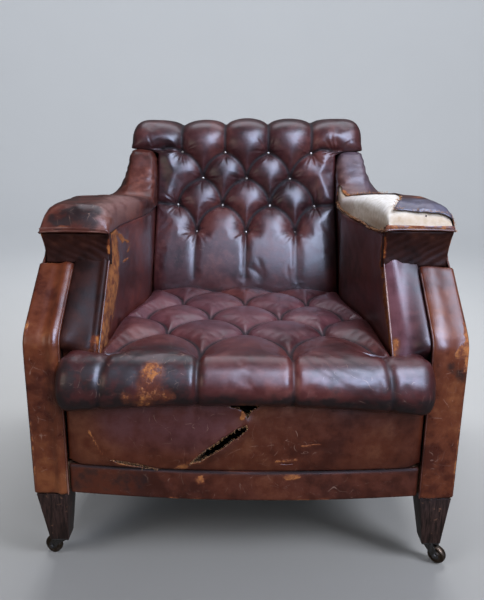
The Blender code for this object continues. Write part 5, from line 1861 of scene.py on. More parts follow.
    def cover_wear(self) -> list[Blot]:
        """Hands have faded and scratched the crown, and rubbed the nose and the edges of the tear; on the
        torn arm a painted grey-blue reflection lies over the nose and a painted sheen over the wing.
        """
        s = self.side
        blots = [
            Blot(Mark.SCUFF, ((s * 0.33, -0.25, 0.667), (s * 0.31, 0.0, 0.667)), 0.11, 1.0),
            Blot(Mark.STAIN_AND_SHADE, ((s * 0.300, -0.297, 0.650), (s * 0.345, -0.297, 0.650)), 0.030, 0.6),
        ]
        if self.side_name == "left":
            blots += [
                Blot(Mark.FADE, ((-0.283, -0.285, 0.662), (-0.278, -0.19, 0.665), (-0.270, -0.08, 0.665)),
                     0.046, 0.95),
                Blot(Mark.WORN, ((-0.274, -0.300, 0.642), (-0.272, -0.255, 0.648), (-0.278, -0.290, 0.655)),
                     0.013, 0.50),
                Blot(Mark.WORN, ((-0.395, -0.298, 0.640), (-0.340, -0.302, 0.640)), 0.006, 0.5),
                Blot(Mark.STAIN_AND_SHADE, ((-0.365, -0.292, 0.652), (-0.335, -0.288, 0.662),
                                  (-0.305, -0.280, 0.668)), 0.036, 0.85),
            ]
        else:
            tear = [(*point, 0.668) for point in self.tears()[0][1:13]]
            inner = [(0.262, 0.069, 0.652), (0.2695, -0.10, 0.632), (0.2695, -0.27, 0.632)]
            blots += [
                Blot(Mark.WORN, tuple(tear), 0.016, 0.80),
                Blot(Mark.WORN, ((0.300, -0.291, 0.666), (0.345, -0.292, 0.670), (0.400, -0.294, 0.658)),
                     0.010, 0.8),
                Blot(Mark.WORN, tuple(inner), 0.012, 0.8),
                Blot(Mark.WORN, ((0.275, -0.303, 0.648), (0.398, -0.303, 0.648)), 0.016, 0.52),
                Blot(Mark.WORN, ((0.300, 0.040, 0.672), (0.335, -0.020, 0.676), (0.350, -0.120, 0.680),
                                 (0.365, -0.180, 0.678)),
                     0.034, 0.46),
                # Painted reflection: grey-blue over the torn arm's nose, with real fading.
                Blot(Mark.FADE, ((0.380, -0.270, 0.67), (0.350, -0.230, 0.676), (0.325, -0.262, 0.672)),
                     0.075, 0.90),
                # Painted sheen: a purple-grey sheen down the front of the wing.
                Blot(Mark.FADE, ((0.300, 0.130, 0.700), (0.270, 0.180, 0.770)), 0.060, 0.55),
                Blot(Mark.SCUFF, ((0.290, 0.120, 0.690), (0.270, 0.180, 0.770)), 0.070, 1.0),
            ]
        return blots

    def inner_face(self, u: np.ndarray, v: np.ndarray) -> np.ndarray:
        """The inside panel's face: u runs up from the seat and v runs back from the front edge."""
        z = 0.3530 + (0.6300 - 0.3530) * u
        slope = np.clip((z - 0.4244) / (0.5716 - 0.4244), 0.0, 1.0)
        front = -0.4002 + (0.4002 - 0.2745) * slope + 0.0105 * smoothstep(z, 0.570, 0.583)
        y = front + (0.2890 - front) * v
        ease = smoothstep(y, -0.23, 0.02)
        x = 0.2705 - 0.0340 * ease + 0.0065 * smoothstep(y, 0.02, 0.09)
        belly = 0.0045 * smoothstep(z, 0.43, 0.53) * smoothstep(v, 0.0, 0.12)
        top_lead = 0.0026 * smoothstep(z, 0.55, 0.620)
        return np.stack([self.side * (x + 0.0022 - belly - top_lead), y, z], axis=-1)

    def inside(self, finishes: Finishes) -> None:
        """The stuffed panel inside the arm, rubbed through along its front edge."""
        seed = 51 + self.side

        def relief(places: np.ndarray) -> np.ndarray:
            """The stuffing's slow lumps under the hide."""
            lumps = 0.0014 * lattice_noise(places, 0.075, seed)
            return lumps + 0.0004 * lattice_noise(places, 0.018, seed + 3)

        panel = PaddedPanel(f"inside_arm_{self.side_name}_hide", self.inner_face, (0.275, 0.62), 0.026,
                            (-self.side, 0.0, 0.0), rounding=0.006, crown=0.002, spacing=0.0055,
                            relief=relief)
        obj = panel.build(finishes["inner"])
        s = self.side
        front = ((s * 0.275, -0.272, 0.615), (s * 0.275, -0.280, 0.560), (s * 0.275, -0.340, 0.495),
                 (s * 0.275, -0.398, 0.430))
        if self.side_name == "left":
            blots = [
                Blot(Mark.WORN, front, 0.034, 1.0),
                Blot(Mark.WORN, ((-0.27, -0.300, 0.610), (-0.27, -0.285, 0.575), (-0.27, -0.262, 0.535),
                                 (-0.27, -0.275, 0.510)), 0.062, 1.0),
                Blot(Mark.WORN, ((-0.27, -0.285, 0.510), (-0.27, -0.320, 0.490), (-0.27, -0.360, 0.455)),
                     0.062, 0.80),
                Blot(Mark.WORN, ((-0.27, -0.275, 0.480), (-0.27, -0.340, 0.445)), 0.060, 0.50),
                Blot(Mark.WORN, ((-0.268, -0.255, 0.615), (-0.267, -0.238, 0.570), (-0.266, -0.250, 0.530),
                                 (-0.266, -0.285, 0.490)), 0.050, 0.92),
                Blot(Mark.SCUFF, ((-0.27, -0.24, 0.600), (-0.26, -0.12, 0.590)), 0.09, 1.0),
                Blot(Mark.WORN, ((-0.265, -0.223, 0.621), (-0.262, -0.180, 0.596)), 0.012, 0.80),
                Blot(Mark.WORN, ((-0.260, -0.100, 0.612), (-0.258, -0.055, 0.616), (-0.256, -0.036, 0.590)),
                     0.011, 0.95),
                Blot(Mark.WORN, ((-0.262, -0.170, 0.595), (-0.260, -0.130, 0.580), (-0.262, -0.150, 0.565)),
                     0.008, 0.80),
                Blot(Mark.WORN, ((-0.262, -0.182, 0.549), (-0.260, -0.108, 0.554), (-0.254, 0.010, 0.552)),
                     0.006, 0.85),
            ]
        else:
            blots = [
                Blot(Mark.WORN, front, 0.034, 0.66),
                Blot(Mark.WORN, ((0.272, -0.262, 0.60), (0.272, -0.265, 0.565)), 0.022, 0.75),
                Blot(Mark.STAIN_AND_SHADE, ((0.262, -0.10, 0.50), (0.25, 0.0, 0.50)), 0.16, 0.55),
            ]
        paint(obj, blots)
        register(obj, "chair", f"inside_arm_{self.side_name}", slot="oxblood_leather", fill=0.8)

    def front_path(self, offset: float) -> np.ndarray:
        """The line in depth and height that the arm's front follows, from the seat to under the nose."""
        points = [(-0.4146, 0.3530), (-0.4148, 0.400), (-0.4140, 0.4280), (-0.395, 0.4530), (-0.340, 0.5166),
                  (-0.2880, 0.5765), (-0.2840, 0.5835)]
        line = smooth_line(points, 80)
        return line + line_normals(line) * offset

    def outer_path(self) -> np.ndarray:
        """The line that the band follows beside the post, a finger's width behind the post's facing."""
        points = [(-0.4146, 0.3530), (-0.4152, 0.4120), (-0.4180, 0.4290), (-0.4285, 0.4420),
                  (-0.4300, 0.4510),
                  (-0.4262, 0.4610), (-0.4150, 0.4722), (-0.3570, 0.5212), (-0.2985, 0.5700),
                  (-0.2880, 0.5790)]
        return smooth_line(points, 120)

    def band_face(self, u: np.ndarray, v: np.ndarray) -> np.ndarray:
        """The band's face: u runs up the front of the arm and v runs out from the seat to the post."""
        edges = []
        for line in (self.front_path(0.0), self.outer_path()):
            share = arc_lengths(line) / arc_lengths(line)[-1]
            edges.append((np.interp(u, share, line[:, 0]), np.interp(u, share, line[:, 1])))
        (inner_y, inner_z), (outer_y, outer_z) = edges
        lead = smoothstep(v, 0.0, 1.0)
        place, width = (0.10, 0.075) if self.side_name == "left" else (0.26, 0.20)
        proud = 0.0055 * np.exp(-((v - place) / width) ** 2) + 0.0022 * np.sin(np.pi * v)
        x = 0.2712 + (0.3378 - 0.2712) * v
        y = inner_y + (outer_y - inner_y) * lead - proud * 0.75
        z = inner_z + (outer_z - inner_z) * lead + proud * 0.60
        return np.stack([self.side * x, y, z], axis=-1)

    def plate_face(self, u: np.ndarray, v: np.ndarray) -> np.ndarray:
        """The upright face under the nose: it flares to the lip above and out to the post below."""
        outer = 0.3935 + 0.0085 * u ** 1.5
        x = 0.2680 + (outer - 0.2680) * v
        top = 0.6290 if self.side_name == "left" else 0.6415
        z = 0.5700 + (top - 0.5700) * u
        y = -0.2862 - 0.0105 * u ** 2.0 - 0.0075 * (1 - u) ** 2.5
        return np.stack([self.side * x, y, z], axis=-1)

    def front(self, finishes: Finishes, trims: Trimmings) -> None:
        """The dark band and plate on the arm's front, the post's facing, and their welts and stitches."""
        tag, s = self.side_name, self.side

        def creased(places: np.ndarray) -> np.ndarray:
            """Slanting creases that wander a little."""
            run = (places[..., 0] * s * 0.55 - places[..., 2]) / 0.016
            wander = lattice_noise(places, 0.03, 61)
            return 0.0010 * np.sin(2 * math.pi * run + 2.0 * wander) * (0.5 + 0.5 * wander)

        band = PaddedPanel(f"arm_band_{tag}", self.band_face, (0.25, 0.066), 0.011, (0.0, -1.0, 0.3),
                           rounding=0.003, crown=0.0005, spacing=0.005)
        band = band.build(finishes["dark" if tag == "left" else "oxblood"])
        front_run = ((s * 0.283, -0.415, 0.36), (s * 0.283, -0.40, 0.46), (s * 0.283, -0.29, 0.58))
        paint(band, [
            Blot(Mark.WORN, ((s * 0.276, -0.414, 0.40), (s * 0.276, -0.400, 0.445)), 0.022, 0.62),
            # Painted sheen: a purple cast along the right band's inner edge, over faded dye.
            Blot(Mark.FADE, front_run, 0.04, 0.55 if tag == "right" else 0.0),
        ])
        register(band, "chair", slot="dark_leather")
        plate = PaddedPanel(f"arm_plate_{tag}", self.plate_face, (0.059, 0.130), 0.018, (0.0, -1.0, 0.0),
                            rounding=0.004, crown=0.002, spacing=0.004,
                            relief=creased).build(finishes["dark"])
        paint(plate, [
            Blot(Mark.WORN, ((s * 0.400, -0.29, 0.585), (s * 0.400, -0.29, 0.627)), 0.007, 0.8),
            Blot(Mark.WORN, ((s * 0.270, -0.29, 0.590), (s * 0.270, -0.29, 0.627)), 0.006, 0.6),
        ])
        register(plate, "chair", f"arm_facing_{tag}", slot="dark_leather")
        self.post(finishes)
        self.welts(finishes, trims)

    def post_line(self) -> np.ndarray:
        """The line in depth and height that the post's facing follows."""
        points = [(-0.4395, 0.1475), (-0.4397, 0.300), (-0.4398, 0.436), (-0.4380, 0.4530), (-0.4310, 0.4680),
                  (-0.4190, 0.4805), (-0.3600, 0.5292), (-0.3050, 0.5745)]
        return smooth_line(points, 160)

    def post_face(self, u: np.ndarray, v: np.ndarray) -> np.ndarray:
        """The facing: u runs up the post and v out across it, with a bead along the inner edge."""
        line = self.post_line()
        share = arc_lengths(line) / arc_lengths(line)[-1]
        y, z = np.interp(u, share, line[:, 0]), np.interp(u, share, line[:, 1])
        normal = line_normals(line)
        ny, nz = np.interp(u, share, normal[:, 0]), np.interp(u, share, normal[:, 1])
        x = 0.3352 + (0.4030 - 0.3352) * v
        if self.side_name == "left":
            bead = 0.0054 * np.exp(-((v - 0.20) / 0.125) ** 2) - 0.0012 * np.exp(-((v - 0.46) / 0.10) ** 2)
        else:
            bead = 0.0044 * np.exp(-((v - 0.30) / 0.30) ** 2)
        return np.stack([self.side * x, y + ny * bead, z + nz * bead], axis=-1)

    def post(self, finishes: Finishes) -> None:
        """The leather down the front post, knocked about at the knee and the foot."""
        s, tag = self.side, self.side_name

        def relief(places: np.ndarray) -> np.ndarray:
            """Small knocks in the leather of the post."""
            return 0.0007 * lattice_noise(places, 0.045, 71 + s) + 0.0003 * lattice_noise(places, 0.012, 72)

        panel = PaddedPanel(f"post_facing_{tag}_hide", self.post_face, (0.46, 0.066), 0.0135,
                            (0.0, -1.0, 0.3),
                            rounding=0.0055, spacing=0.0055, relief=relief)
        obj = panel.build(finishes["post"])
        blots = [Blot(Mark.SCUFF, ((s * 0.37, -0.44, 0.20), (s * 0.38, -0.44, 0.42)), 0.05, 0.8)]
        if tag == "right":
            blots += [
                Blot(Mark.WORN, ((0.400, -0.440, 0.415), (0.399, -0.436, 0.470), (0.399, -0.41, 0.495)),
                     0.011, 0.85),
                Blot(Mark.WORN, ((0.385, -0.440, 0.440), (0.392, -0.438, 0.455)), 0.018, 0.65),
                Blot(Mark.STAIN_AND_SHADE, ((0.375, -0.440, 0.420), (0.395, -0.440, 0.400)), 0.020, 0.6),
                Blot(Mark.WORN, ((0.400, -0.440, 0.16), (0.400, -0.440, 0.36)), 0.004, 0.6),
            ]
        else:
            blots += [
                Blot(Mark.WORN, ((-0.399, -0.415, 0.488), (-0.399, -0.43, 0.470)), 0.007, 0.8),
                Blot(Mark.WORN, ((-0.3375, -0.440, 0.400), (-0.3375, -0.440, 0.330)), 0.005, 0.7),
                Blot(Mark.WORN, ((-0.399, -0.440, 0.16), (-0.399, -0.440, 0.30)), 0.004, 0.6),
                Blot(Mark.WORN, ((-0.352, -0.412, 0.486), (-0.354, -0.408, 0.489)), 0.009, 0.6),
            ]
        paint(obj, blots)
        register(obj, "chair", f"post_facing_{tag}", slot="tan_brown_leather")

    def welts(self, finishes: Finishes, trims: Trimmings) -> None:
        """The cord in each seam of the arm and the rows of stitches beside them."""
        tag, s = self.side_name, self.side
        lip = np.stack([np.linspace(0.2700, 0.3995, 30), np.full(30, -0.3030),
                        0.6318 + 0.0030 * np.sin(np.linspace(0, np.pi, 30)) ** 0.5], axis=1)
        lip = self.raised(lip)
        second = lip + (0.0, 0.0005, 0.0062)
        post = self.post_line()
        seam = np.stack([np.full(len(post), 0.3369), post[:, 0] - 0.0002, post[:, 1]], axis=1)[:-6]
        edge = self.front_path(0.0008)[4:]
        band = np.stack([np.full(len(edge), 0.2708), edge[:, 0], edge[:, 1]], axis=1)
        ys = np.linspace(-0.292, 0.10 if tag == "left" else -0.20, 50)
        inner = np.stack([
            np.array([self.shape.row(float(y), 0.0, 20)[0, 0] for y in ys]) + 0.0014, ys,
            np.full(50, ARM_BASE),
        ], axis=1)
        cords = [(lip, (0.0, -1.0, 0.0)), (band, (-s, 0.0, 0.0)), (inner, (-s, 0.0, 0.0))]
        if tag == "left":
            cords.append((second, (0.0, -1.0, 0.0)))
        runs = [Run(path * (s, 1.0, 1.0), np.array(aim)) for path, aim in cords]
        obj = trims.welt.grow(runs_object(f"arm_welts_{tag}", runs), finishes["piping"], Radius=0.0020)
        register(obj, "chair", slot="oxblood_leather")
        thin = [Run(seam * (s, 1.0, 1.0), np.array((0.0, -1.0, 0.0)))]
        obj = trims.welt.grow(runs_object(f"post_welt_{tag}", thin), finishes["piping"], Radius=0.0014)
        register(obj, "chair", slot="tan_brown_leather")
        rows = []
        normal = line_normals(post)
        for x, lift in ((0.3400, 0.0008), (0.3490, 0.0016)):
            line = post + normal * lift
            rows.append(np.stack([np.full(len(post), x), line[:, 0], line[:, 1]], axis=1)[4:-6])
        if tag == "right":
            rows.append(lip + (0.0, -0.0020, 0.0022))
        runs = [Run(path * (s, 1.0, 1.0), np.array((0.0, -1.0, 0.0))) for path in rows]
        obj = trims.stitch.grow(runs_object(f"arm_stitches_{tag}", runs), finishes["thread"])
        register(obj, "chair")

    def outside_face(self, u: np.ndarray, v: np.ndarray) -> np.ndarray:
        """The outside panel's face: u runs up and v runs back."""
        z = 0.1478 + (0.6276 - 0.1478) * u
        climb = np.clip((z - 0.4579) / (0.5684 - 0.4579), 0.0, 1.0)
        front = -0.4233 + (0.4193 - 0.2890) * climb + 0.0256 * smoothstep(z, 0.576, 0.584)
        rear = 0.3130 + (0.3620 - 0.3130) * u
        return np.stack([np.full_like(z, self.side * (CHAIR_OUTER + 0.0020)), front + (rear - front) * v, z],
                        axis=-1)

    def outside(self, finishes: Finishes) -> None:
        """The plain panel outside the arm, slack and knocked along its foot."""
        seed, s = 81 + self.side, self.side

        def relief(places: np.ndarray) -> np.ndarray:
            """The slackness of a large unpadded panel."""
            return 0.0012 * lattice_noise(places, 0.16, seed) + 0.0004 * lattice_noise(places, 0.03, seed)

        panel = PaddedPanel(f"outside_arm_{self.side_name}_hide", self.outside_face, (0.48, 0.70), 0.004,
                            (s, 0.0, 0.0), rounding=0.0025, crown=0.0010, spacing=0.011, relief=relief)
        obj = panel.build(finishes["tan"])
        paint(obj, [
            Blot(Mark.SCUFF, ((s * 0.4, -0.40, 0.20), (s * 0.4, 0.30, 0.20)), 0.12, 0.7),
            Blot(Mark.WORN, ((s * 0.4, -0.42, 0.150), (s * 0.4, 0.31, 0.150)), 0.007, 0.6),
            Blot(Mark.STAIN_AND_SHADE, ((s * 0.4, -0.20, 0.60), (s * 0.4, 0.20, 0.60)), 0.06, 0.4),
        ])
        register(obj, "chair", f"outside_arm_{self.side_name}", slot="tan_brown_leather")


# ---------------------------------------------------------------- the front below the seat


@dataclass
class Front:
    """The torn border under the roll and the covered rail below it."""

    border_bow: float = 0.0200
    rail_bow: float = 0.0220
    border_foot: float = 0.2088
    tears: tuple[tuple[Point, ...], ...] = (
        ((-0.1010, 0.2285), (-0.0900, 0.2418), (-0.0683, 0.2619), (-0.0413, 0.2834), (-0.0132, 0.3033),
         (0.0035, 0.3115), (0.0050, 0.3040), (-0.0010, 0.2950), (-0.0200, 0.2790), (-0.0430, 0.2605),
         (-0.0640, 0.2455), (-0.0841, 0.2320)),
        ((-0.2480, 0.2275), (-0.2206, 0.2252), (-0.1921, 0.2190), (-0.1610, 0.2112), (-0.1851, 0.2095),
         (-0.2136, 0.2160), (-0.2386, 0.2205)),
    )
    holes: tuple[tuple[Point, ...], ...] = (
        ((-0.0310, 0.3440), (-0.0206, 0.3530), (0.0003, 0.3570), (0.0282, 0.3560), (0.0388, 0.3500),
         (0.0215, 0.3420), (0.0111, 0.3343), (0.0042, 0.3215), (-0.0020, 0.3326), (-0.0135, 0.3386)),
        ((0.0660, 0.2262), (0.0780, 0.2280), (0.0910, 0.2268), (0.0780, 0.2256)),
    )

    def border_grid(self) -> np.ndarray:
        """The border's outer face: it swells between its foot and the roll, and dips round its tear."""
        x = np.linspace(-BORDER_HALF, BORDER_HALF, 168)[:, None]
        share = np.linspace(0.0, 1.0, 40)[None, :]
        top = BORDER_TOP - BORDER_ARCH * (x / BORDER_HALF) ** 2
        foot = self.border_foot + 0.010 * smoothstep(np.abs(x), BORDER_HALF - 0.035, BORDER_HALF) ** 2
        z = foot + (top - foot) * share
        flat = np.stack([np.broadcast_to(x, z.shape), np.zeros_like(z), z], axis=-1)
        side = np.minimum(1.0, (BORDER_HALF - np.abs(x)) / 0.020)
        swell = np.sqrt(np.clip(side * (2 - side), 0, 1)) * (np.sin(np.pi * np.clip(share, 0.0, 1.0)) ** 0.45)
        proud = 0.0085 * swell + 0.0018 * lattice_noise(flat, 0.090, 91) + 0.0005 * lattice_noise(flat,
                                                                                                  0.02, 92)
        for tear, lip in ((self.tears[0], 0.0060), (self.tears[1], 0.0030), (self.holes[0], 0.0030)):
            gap, _ = distance_to_path(flat[..., [0, 2]], np.array([*tear, tear[0]]))
            proud += lip * np.exp(-(gap / 0.012) ** 2)
        fold = self.tears[0][0]
        reach = np.hypot(flat[..., 0] - fold[0] + 0.03, flat[..., 2] - fold[1] - 0.01)
        proud += 0.0030 * np.exp(-(reach / 0.030) ** 2)
        y = -0.4310 - self.border_bow * (1 - (x / BORDER_HALF) ** 2) - proud * swell ** 0.3
        return np.stack([flat[..., 0], y, z], axis=-1)

    def build(self, finishes: Finishes, trims: Trimmings) -> None:
        """Makes the border, its torn edges and the rail's cover."""
        grid = self.border_grid()
        outlines = [ragged(tear, 0.0011, 101 + i) for i, tear in enumerate((*self.tears, *self.holes))]
        cutters = [prism(outline, (0, 2), -0.52, -0.40) for outline in outlines]
        border = torn(hide_sheet("seat_border_hide", grid, 0.0024, (0.0, -1.0, 0.0), finishes["tan"]),
                      cutters)
        paint(border, self.wear())
        register(border, "chair", "seat_border", slot="tan_brown_leather")
        self.fibres(grid, outlines, finishes, trims)
        self.rail(finishes)

    def wear(self) -> list[Blot]:
        """Split shows along the tears, at the ends and in small scratches, and painted shade darkens the top
        edge under the roll.
        """
        long, short = self.tears
        blots = [
            Blot(Mark.WORN, tuple((x, -0.455, z) for x, z in (*long, long[0])), 0.011, 0.80),
            Blot(Mark.WORN, ((-0.128, -0.455, 0.208), (-0.113, -0.455, 0.217), (-0.100, -0.455, 0.231)),
                 0.013, 0.72),
            Blot(Mark.WORN, tuple((x, -0.445, z) for x, z in short), 0.008, 0.6),
            Blot(Mark.WORN, ((-0.004, -0.458, 0.322), (0.0, -0.458, 0.336)), 0.010, 0.8),
            Blot(Mark.WORN, ((0.105, -0.455, 0.265), (0.140, -0.455, 0.269)), 0.004, 0.8),
            Blot(Mark.WORN, ((0.060, -0.455, 0.232), (0.095, -0.455, 0.236)), 0.008, 0.6),
            Blot(Mark.WORN, ((-0.289, -0.445, 0.284), (-0.276, -0.445, 0.257), (-0.267, -0.445, 0.237)),
                 0.006, 0.7),
            Blot(Mark.SCUFF, ((-0.15, -0.455, 0.30), (0.10, -0.455, 0.26)), 0.10, 0.8),
            Blot(Mark.FADE, ((-0.22, -0.455, 0.315), (-0.06, -0.455, 0.318)), 0.085, 0.80),
            # Painted shade: a dark band along the border's top edge, under the roll's overhang.
            Blot(Mark.STAIN_AND_SHADE, ((-0.33, -0.44, 0.352), (0.0, -0.455, 0.362), (0.33, -0.44, 0.352)), 0.022, 0.9),
        ]
        return blots

    def fibres(self, grid: np.ndarray, outlines: list[np.ndarray], finishes: Finishes,
               trims: Trimmings) -> None:
        """Torn fibres round each opening."""
        flat, depth = grid[..., [0, 2]].reshape(-1, 2), grid[..., 1].ravel()
        runs = []
        for outline in outlines[:3]:
            closed = np.concatenate([outline, outline[:1]])
            y = np.array([depth[np.argmin(np.hypot(*(flat - p).T))] for p in closed])
            path = np.stack([closed[:, 0], y - 0.0004, closed[:, 1]], axis=1)
            inward = outline.mean(axis=0) - closed
            run = np.roll(closed, -1, axis=0) - closed
            run[-1] = run[0]
            side = np.stack([-run[:, 1], run[:, 0]], axis=1)
            side *= np.sign((side * inward).sum(axis=1, keepdims=True))
            side /= np.maximum(np.linalg.norm(side, axis=1, keepdims=True), 1e-9)
            runs.append(Run(path, np.stack([side[:, 0], np.full(len(side), -0.5), side[:, 1]], axis=1)))
        obj = trims.fray.grow(runs_object("border_torn_fibres", runs), finishes["fibre"], Length=0.0045,
                              Spacing=0.0014, Seed=5)
        register(obj, "chair")

    def rail_face(self, u: np.ndarray, v: np.ndarray) -> np.ndarray:
        """The rail cover's face: u runs across and v runs up."""
        x = -0.3343 + 0.6686 * u
        z = 0.1472 + (0.2080 - 0.1472) * v
        y = -0.4335 - self.rail_bow * (1 - (x / 0.3345) ** 2)
        return np.stack([x, y, z], axis=-1)

    def rail(self, finishes: Finishes) -> None:
        """The leather over the front rail, chipped along both edges."""

        def relief(places: np.ndarray) -> np.ndarray:
            """Shallow unevenness along the rail."""
            return 0.0008 * lattice_noise(places, 0.06, 111) + 0.0003 * lattice_noise(places, 0.014, 112)

        panel = PaddedPanel("front_rail_hide", self.rail_face, (0.67, 0.061), 0.0085, (0.0, -1.0, 0.0),
                            rounding=0.005, spacing=0.006, relief=relief)
        obj = panel.build(finishes["rail"])
        paint(obj, [
            Blot(Mark.WORN, ((-0.083, -0.455, 0.190),), 0.016, 0.8),
            Blot(Mark.WORN, ((0.080, -0.455, 0.198), (0.100, -0.455, 0.199)), 0.010, 0.8),
            Blot(Mark.WORN, ((-0.14, -0.45, 0.149), (0.16, -0.45, 0.149)), 0.006, 0.6),
            Blot(Mark.SCUFF, ((-0.25, -0.44, 0.18), (0.25, -0.44, 0.18)), 0.06, 0.6),
            Blot(Mark.STAIN_AND_SHADE, ((-0.33, -0.435, 0.18), (-0.20, -0.45, 0.18)), 0.05, 0.5),
            # Painted shade: a black line along the rail's top seam, under the border.
            Blot(Mark.FOLD_DIRT_AND_SHADE, ((-0.33, -0.436, 0.2085), (0.0, -0.4575, 0.2085), (0.33, -0.436, 0.2085)),
                 0.007, 1.0),
        ])
        register(obj, "chair", "front_rail_cover", slot="tan_brown_leather")


# ---------------------------------------------------------------- the rear


@dataclass
class Rear:
    """The plain leather panel behind the chair, fixed round its edge with close-set tacks."""

    lean: float = math.radians(5.86)
    hinge_y: float = 0.2850
    hinge_z: float = 0.2153
    offset: float = 0.0402
    half: tuple[Point, ...] = (
        (-0.0665, 0.3985), (0.4110, 0.3985), (0.4255, 0.3840), (0.4415, 0.3512), (0.4675, 0.3252),
        (0.4995, 0.3112), (0.5390, 0.3022), (0.5575, 0.3002),
    )

    def placed(self, x: np.ndarray, up: np.ndarray, out: np.ndarray | float) -> np.ndarray:
        """A place on the leaning plane of the back."""
        y = self.hinge_y + (self.offset + out) * math.cos(self.lean) + up * math.sin(self.lean)
        z = self.hinge_z - (self.offset + out) * math.sin(self.lean) + up * math.cos(self.lean)
        return np.stack([x, y, z], axis=-1)

    def face(self, u: np.ndarray, v: np.ndarray) -> np.ndarray:
        """The panel's face: u runs up and v runs across."""
        ups, halves = np.array(self.half).T
        up = ups[0] + (ups[-1] - ups[0]) * u
        return self.placed(np.interp(up, ups, halves) * (2 * v - 1), up, 0.0)

    def build(self, finishes: Finishes, trims: Trimmings) -> None:
        """Makes the panel and its tacks."""

        def relief(places: np.ndarray) -> np.ndarray:
            """The slackness of the panel between its tacks."""
            return 0.0013 * lattice_noise(places, 0.18, 121) + 0.0004 * lattice_noise(places, 0.035, 122)

        panel = PaddedPanel("outside_back_hide", self.face, (0.62, 0.78), 0.0042, (0.0, 1.0, 0.0),
                            rounding=0.0025, crown=0.0012, spacing=0.011, relief=relief)
        obj = panel.build(finishes["tan"])
        paint(obj, [
            Blot(Mark.SCUFF, ((-0.25, 0.32, 0.30), (0.25, 0.32, 0.30)), 0.20, 0.6),
            Blot(Mark.WORN, ((-0.38, 0.30, 0.152), (0.38, 0.30, 0.152)), 0.008, 0.6),
            Blot(Mark.FADE, ((0.0, 0.38, 0.60),), 0.20, 0.5),
        ])
        register(obj, "chair", "outside_back", slot="tan_brown_leather")
        self.tacks(finishes, trims)

    def tacks(self, finishes: Finishes, trims: Trimmings) -> None:
        """Small domed tacks a thumb's width apart round the panel."""
        ups, halves = np.array(self.half).T
        side = np.stack([halves - 0.009, ups], axis=1)
        loop = np.concatenate([side * (1, 1), side[::-1] * (-1, 1)])
        loop[:, 1] = np.clip(loop[:, 1], ups[0] + 0.009, ups[-1] - 0.009)
        line = evenly(np.concatenate([loop, loop[:1]]), 98)[:-1]
        normal = np.array((0.0, math.cos(self.lean), -math.sin(self.lean)))
        places = self.placed(line[:, 0], line[:, 1], 0.0006)
        r = 0.0042
        dome = [(1e-5, 0.6 * r), (0.45 * r, 0.52 * r), (0.8 * r, 0.30 * r), (r, 0.0), (1e-5, -0.15 * r)]
        shape = lathe("tack_shape", dome, finishes["iron"], sides=10)
        studs = [Run(place[None, :], normal[None, :]) for place in places]
        obj = trims.studding.grow(runs_object("outside_back_tacks", studs), finishes["iron"], Shape=shape)
        bpy.data.objects.remove(shape, do_unlink=True)
        register(obj, "chair")


@dataclass
class Underside:
    """The black cloth tacked under the frame, sagging a little with age."""

    low: Point = (-0.334, -0.418)
    high: Point = (0.334, 0.300)
    level: float = 0.1458
    sag: float = 0.0045

    def build(self, finishes: Finishes) -> None:
        """Makes the cloth, which hangs lowest in the middle."""
        x = np.linspace(self.low[0], self.high[0], 72)[:, None] + np.zeros((1, 76))
        y = np.linspace(self.low[1], self.high[1], 76)[None, :] + np.zeros((72, 1))
        across = (x - self.low[0]) / (self.high[0] - self.low[0])
        back = (y - self.low[1]) / (self.high[1] - self.low[1])
        hang = np.sin(np.pi * np.clip(across, 0, 1)) * np.sin(np.pi * np.clip(back, 0, 1))
        flat = np.stack([x, y, np.zeros_like(x)], axis=-1)
        drop = self.sag * np.maximum(hang, 0.0) ** 0.6 * (1 + 0.35 * lattice_noise(flat, 0.08, 131))
        grid = np.stack([x, y, self.level - drop], axis=-1)
        cloth = hide_sheet("under_cloth", grid, 0.0009, (0.0, 0.0, -1.0), finishes["bottoming"])
        register(cloth, "chair", "dust_cover", slot="black_cloth")
        size = (self.high[0] - self.low[0], self.high[1] - self.low[1])


# ---------------------------------------------------------------- legs, castors and what lies inside


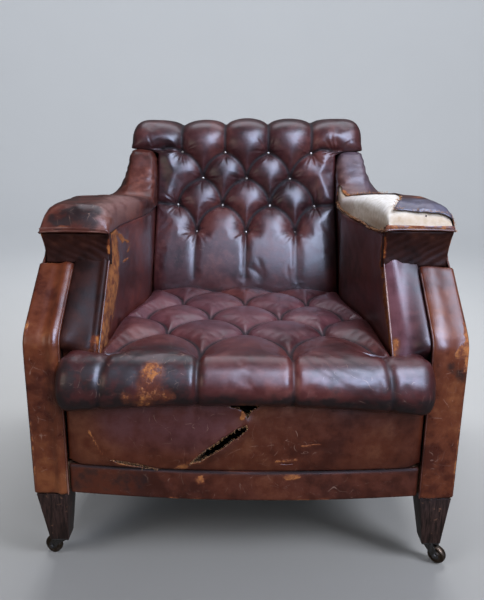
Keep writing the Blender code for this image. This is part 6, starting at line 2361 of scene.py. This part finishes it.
@dataclass
class Running:
    """Legs, castors, and the frame, springs and webbing that the upholstery hides."""

    wheel_radius: float = 0.0180
    wheel_half: float = 0.0070

    def build(self, finishes: Finishes, nodes: dict[str, bpy.types.Object]) -> None:
        """Rounds the legs and castors, turns the wheels and gives every other node its material."""
        for end in ("front", "back"):
            for side_name in SIDES:
                leg = softened_copy(f"leg_{end}_{side_name}", f"{end}_leg_{side_name}", 0.0016,
                                    finishes["leg"])
                register(leg, "chair", f"{end}_leg_{side_name}", slot="stained_leg")
                self.castor(f"{end}_{side_name}", finishes)
        hidden = {
            "spring": "steel", "webbing": "jute", "hessian": "hessian", "dust_cover": "bottoming",
            "rail": "beech", "upright": "beech", "axle": "iron",
        }
        for name, obj in nodes.items():
            if obj.hide_render:
                continue
            word = next((w for w in hidden if w in name), None)
            if word is None:
                raise RuntimeError(f"{name} has no finish")
            if name == "spring_hessian":
                word = "hessian"
            for slot in obj.material_slots:
                slot.material = finishes[hidden[word]]

    def castor(self, corner: str, finishes: Finishes) -> None:
        """One castor: plate and horn with worn corners, and a turned wheel with a grooved face."""
        plate = softened_copy(f"{corner}_plate", f"{corner}_castor_plate", 0.0005, finishes["iron"])
        register(plate, "chair", f"{corner}_castor_plate", slot="castor_iron")
        horn = softened_copy(f"{corner}_horn", f"{corner}_castor_horn", 0.0005, finishes["iron"])
        register(horn, f"{corner}_swivel", f"{corner}_castor_horn", slot="castor_iron")
        low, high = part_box(f"{corner}_castor_wheel")
        hub = (low + high) / 2
        plate_low, plate_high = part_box(f"{corner}_castor_plate")
        post = (plate_low + plate_high) / 2
        heading = math.atan2(hub.y - post.y, hub.x - post.x)
        r, half = self.wheel_radius * 0.992, self.wheel_half
        profile = [
            (0.00262, -half), (0.0062, -half), (0.0068, -half + 0.0010), (0.0100, -half + 0.0022),
            (0.0122, -half + 0.0018), (0.0130, -half + 0.0004), (0.0148, -half + 0.0003),
            (r - 0.0008, -half + 0.0020), (r, -half + 0.0040), (r, half - 0.0040),
            (r - 0.0008, half - 0.0020),
            (0.0148, half - 0.0003), (0.0130, half - 0.0004), (0.0122, half - 0.0018),
            (0.0100, half - 0.0022),
            (0.0068, half - 0.0010), (0.0062, half), (0.00262, half), (0.00262, -half),
        ]
        wheel = lathe(f"{corner}_wheel", profile, finishes["wheel"], sides=48)
        wheel.data.transform(
            Matrix.Translation(hub) @ Matrix.Rotation(heading, 4, "Z") @ Matrix.Rotation(math.pi / 2, 4, "X")
        )
        wheel.data.set_sharp_from_angle(angle=math.radians(40))
        register(wheel, f"{corner}_roller", f"{corner}_castor_wheel", slot="castor_wheel")


def main() -> None:
    """Dresses the chair piece by piece and reports each one."""
    logging.basicConfig(level=logging.INFO, format="%(name)s %(message)s")
    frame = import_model()
    LOG.info("bodies: %s", sorted(frame["bodies"]))
    bpy.context.scene.view_settings.view_transform = "Standard"
    finishes, trims, studio = Finishes(), Trimmings(), Studio()
    studio.build(finishes)
    Back().build(finishes, trims)
    Seat().build(finishes)
    for side_name in SIDES:
        Arm(side_name).build(finishes, trims)
    Front().build(finishes, trims)
    Rear().build(finishes, trims)
    Underside().build(finishes)
    Running().build(finishes, frame["nodes"])
    studio.aim_lights()


if __name__ == "__main__":
    main()
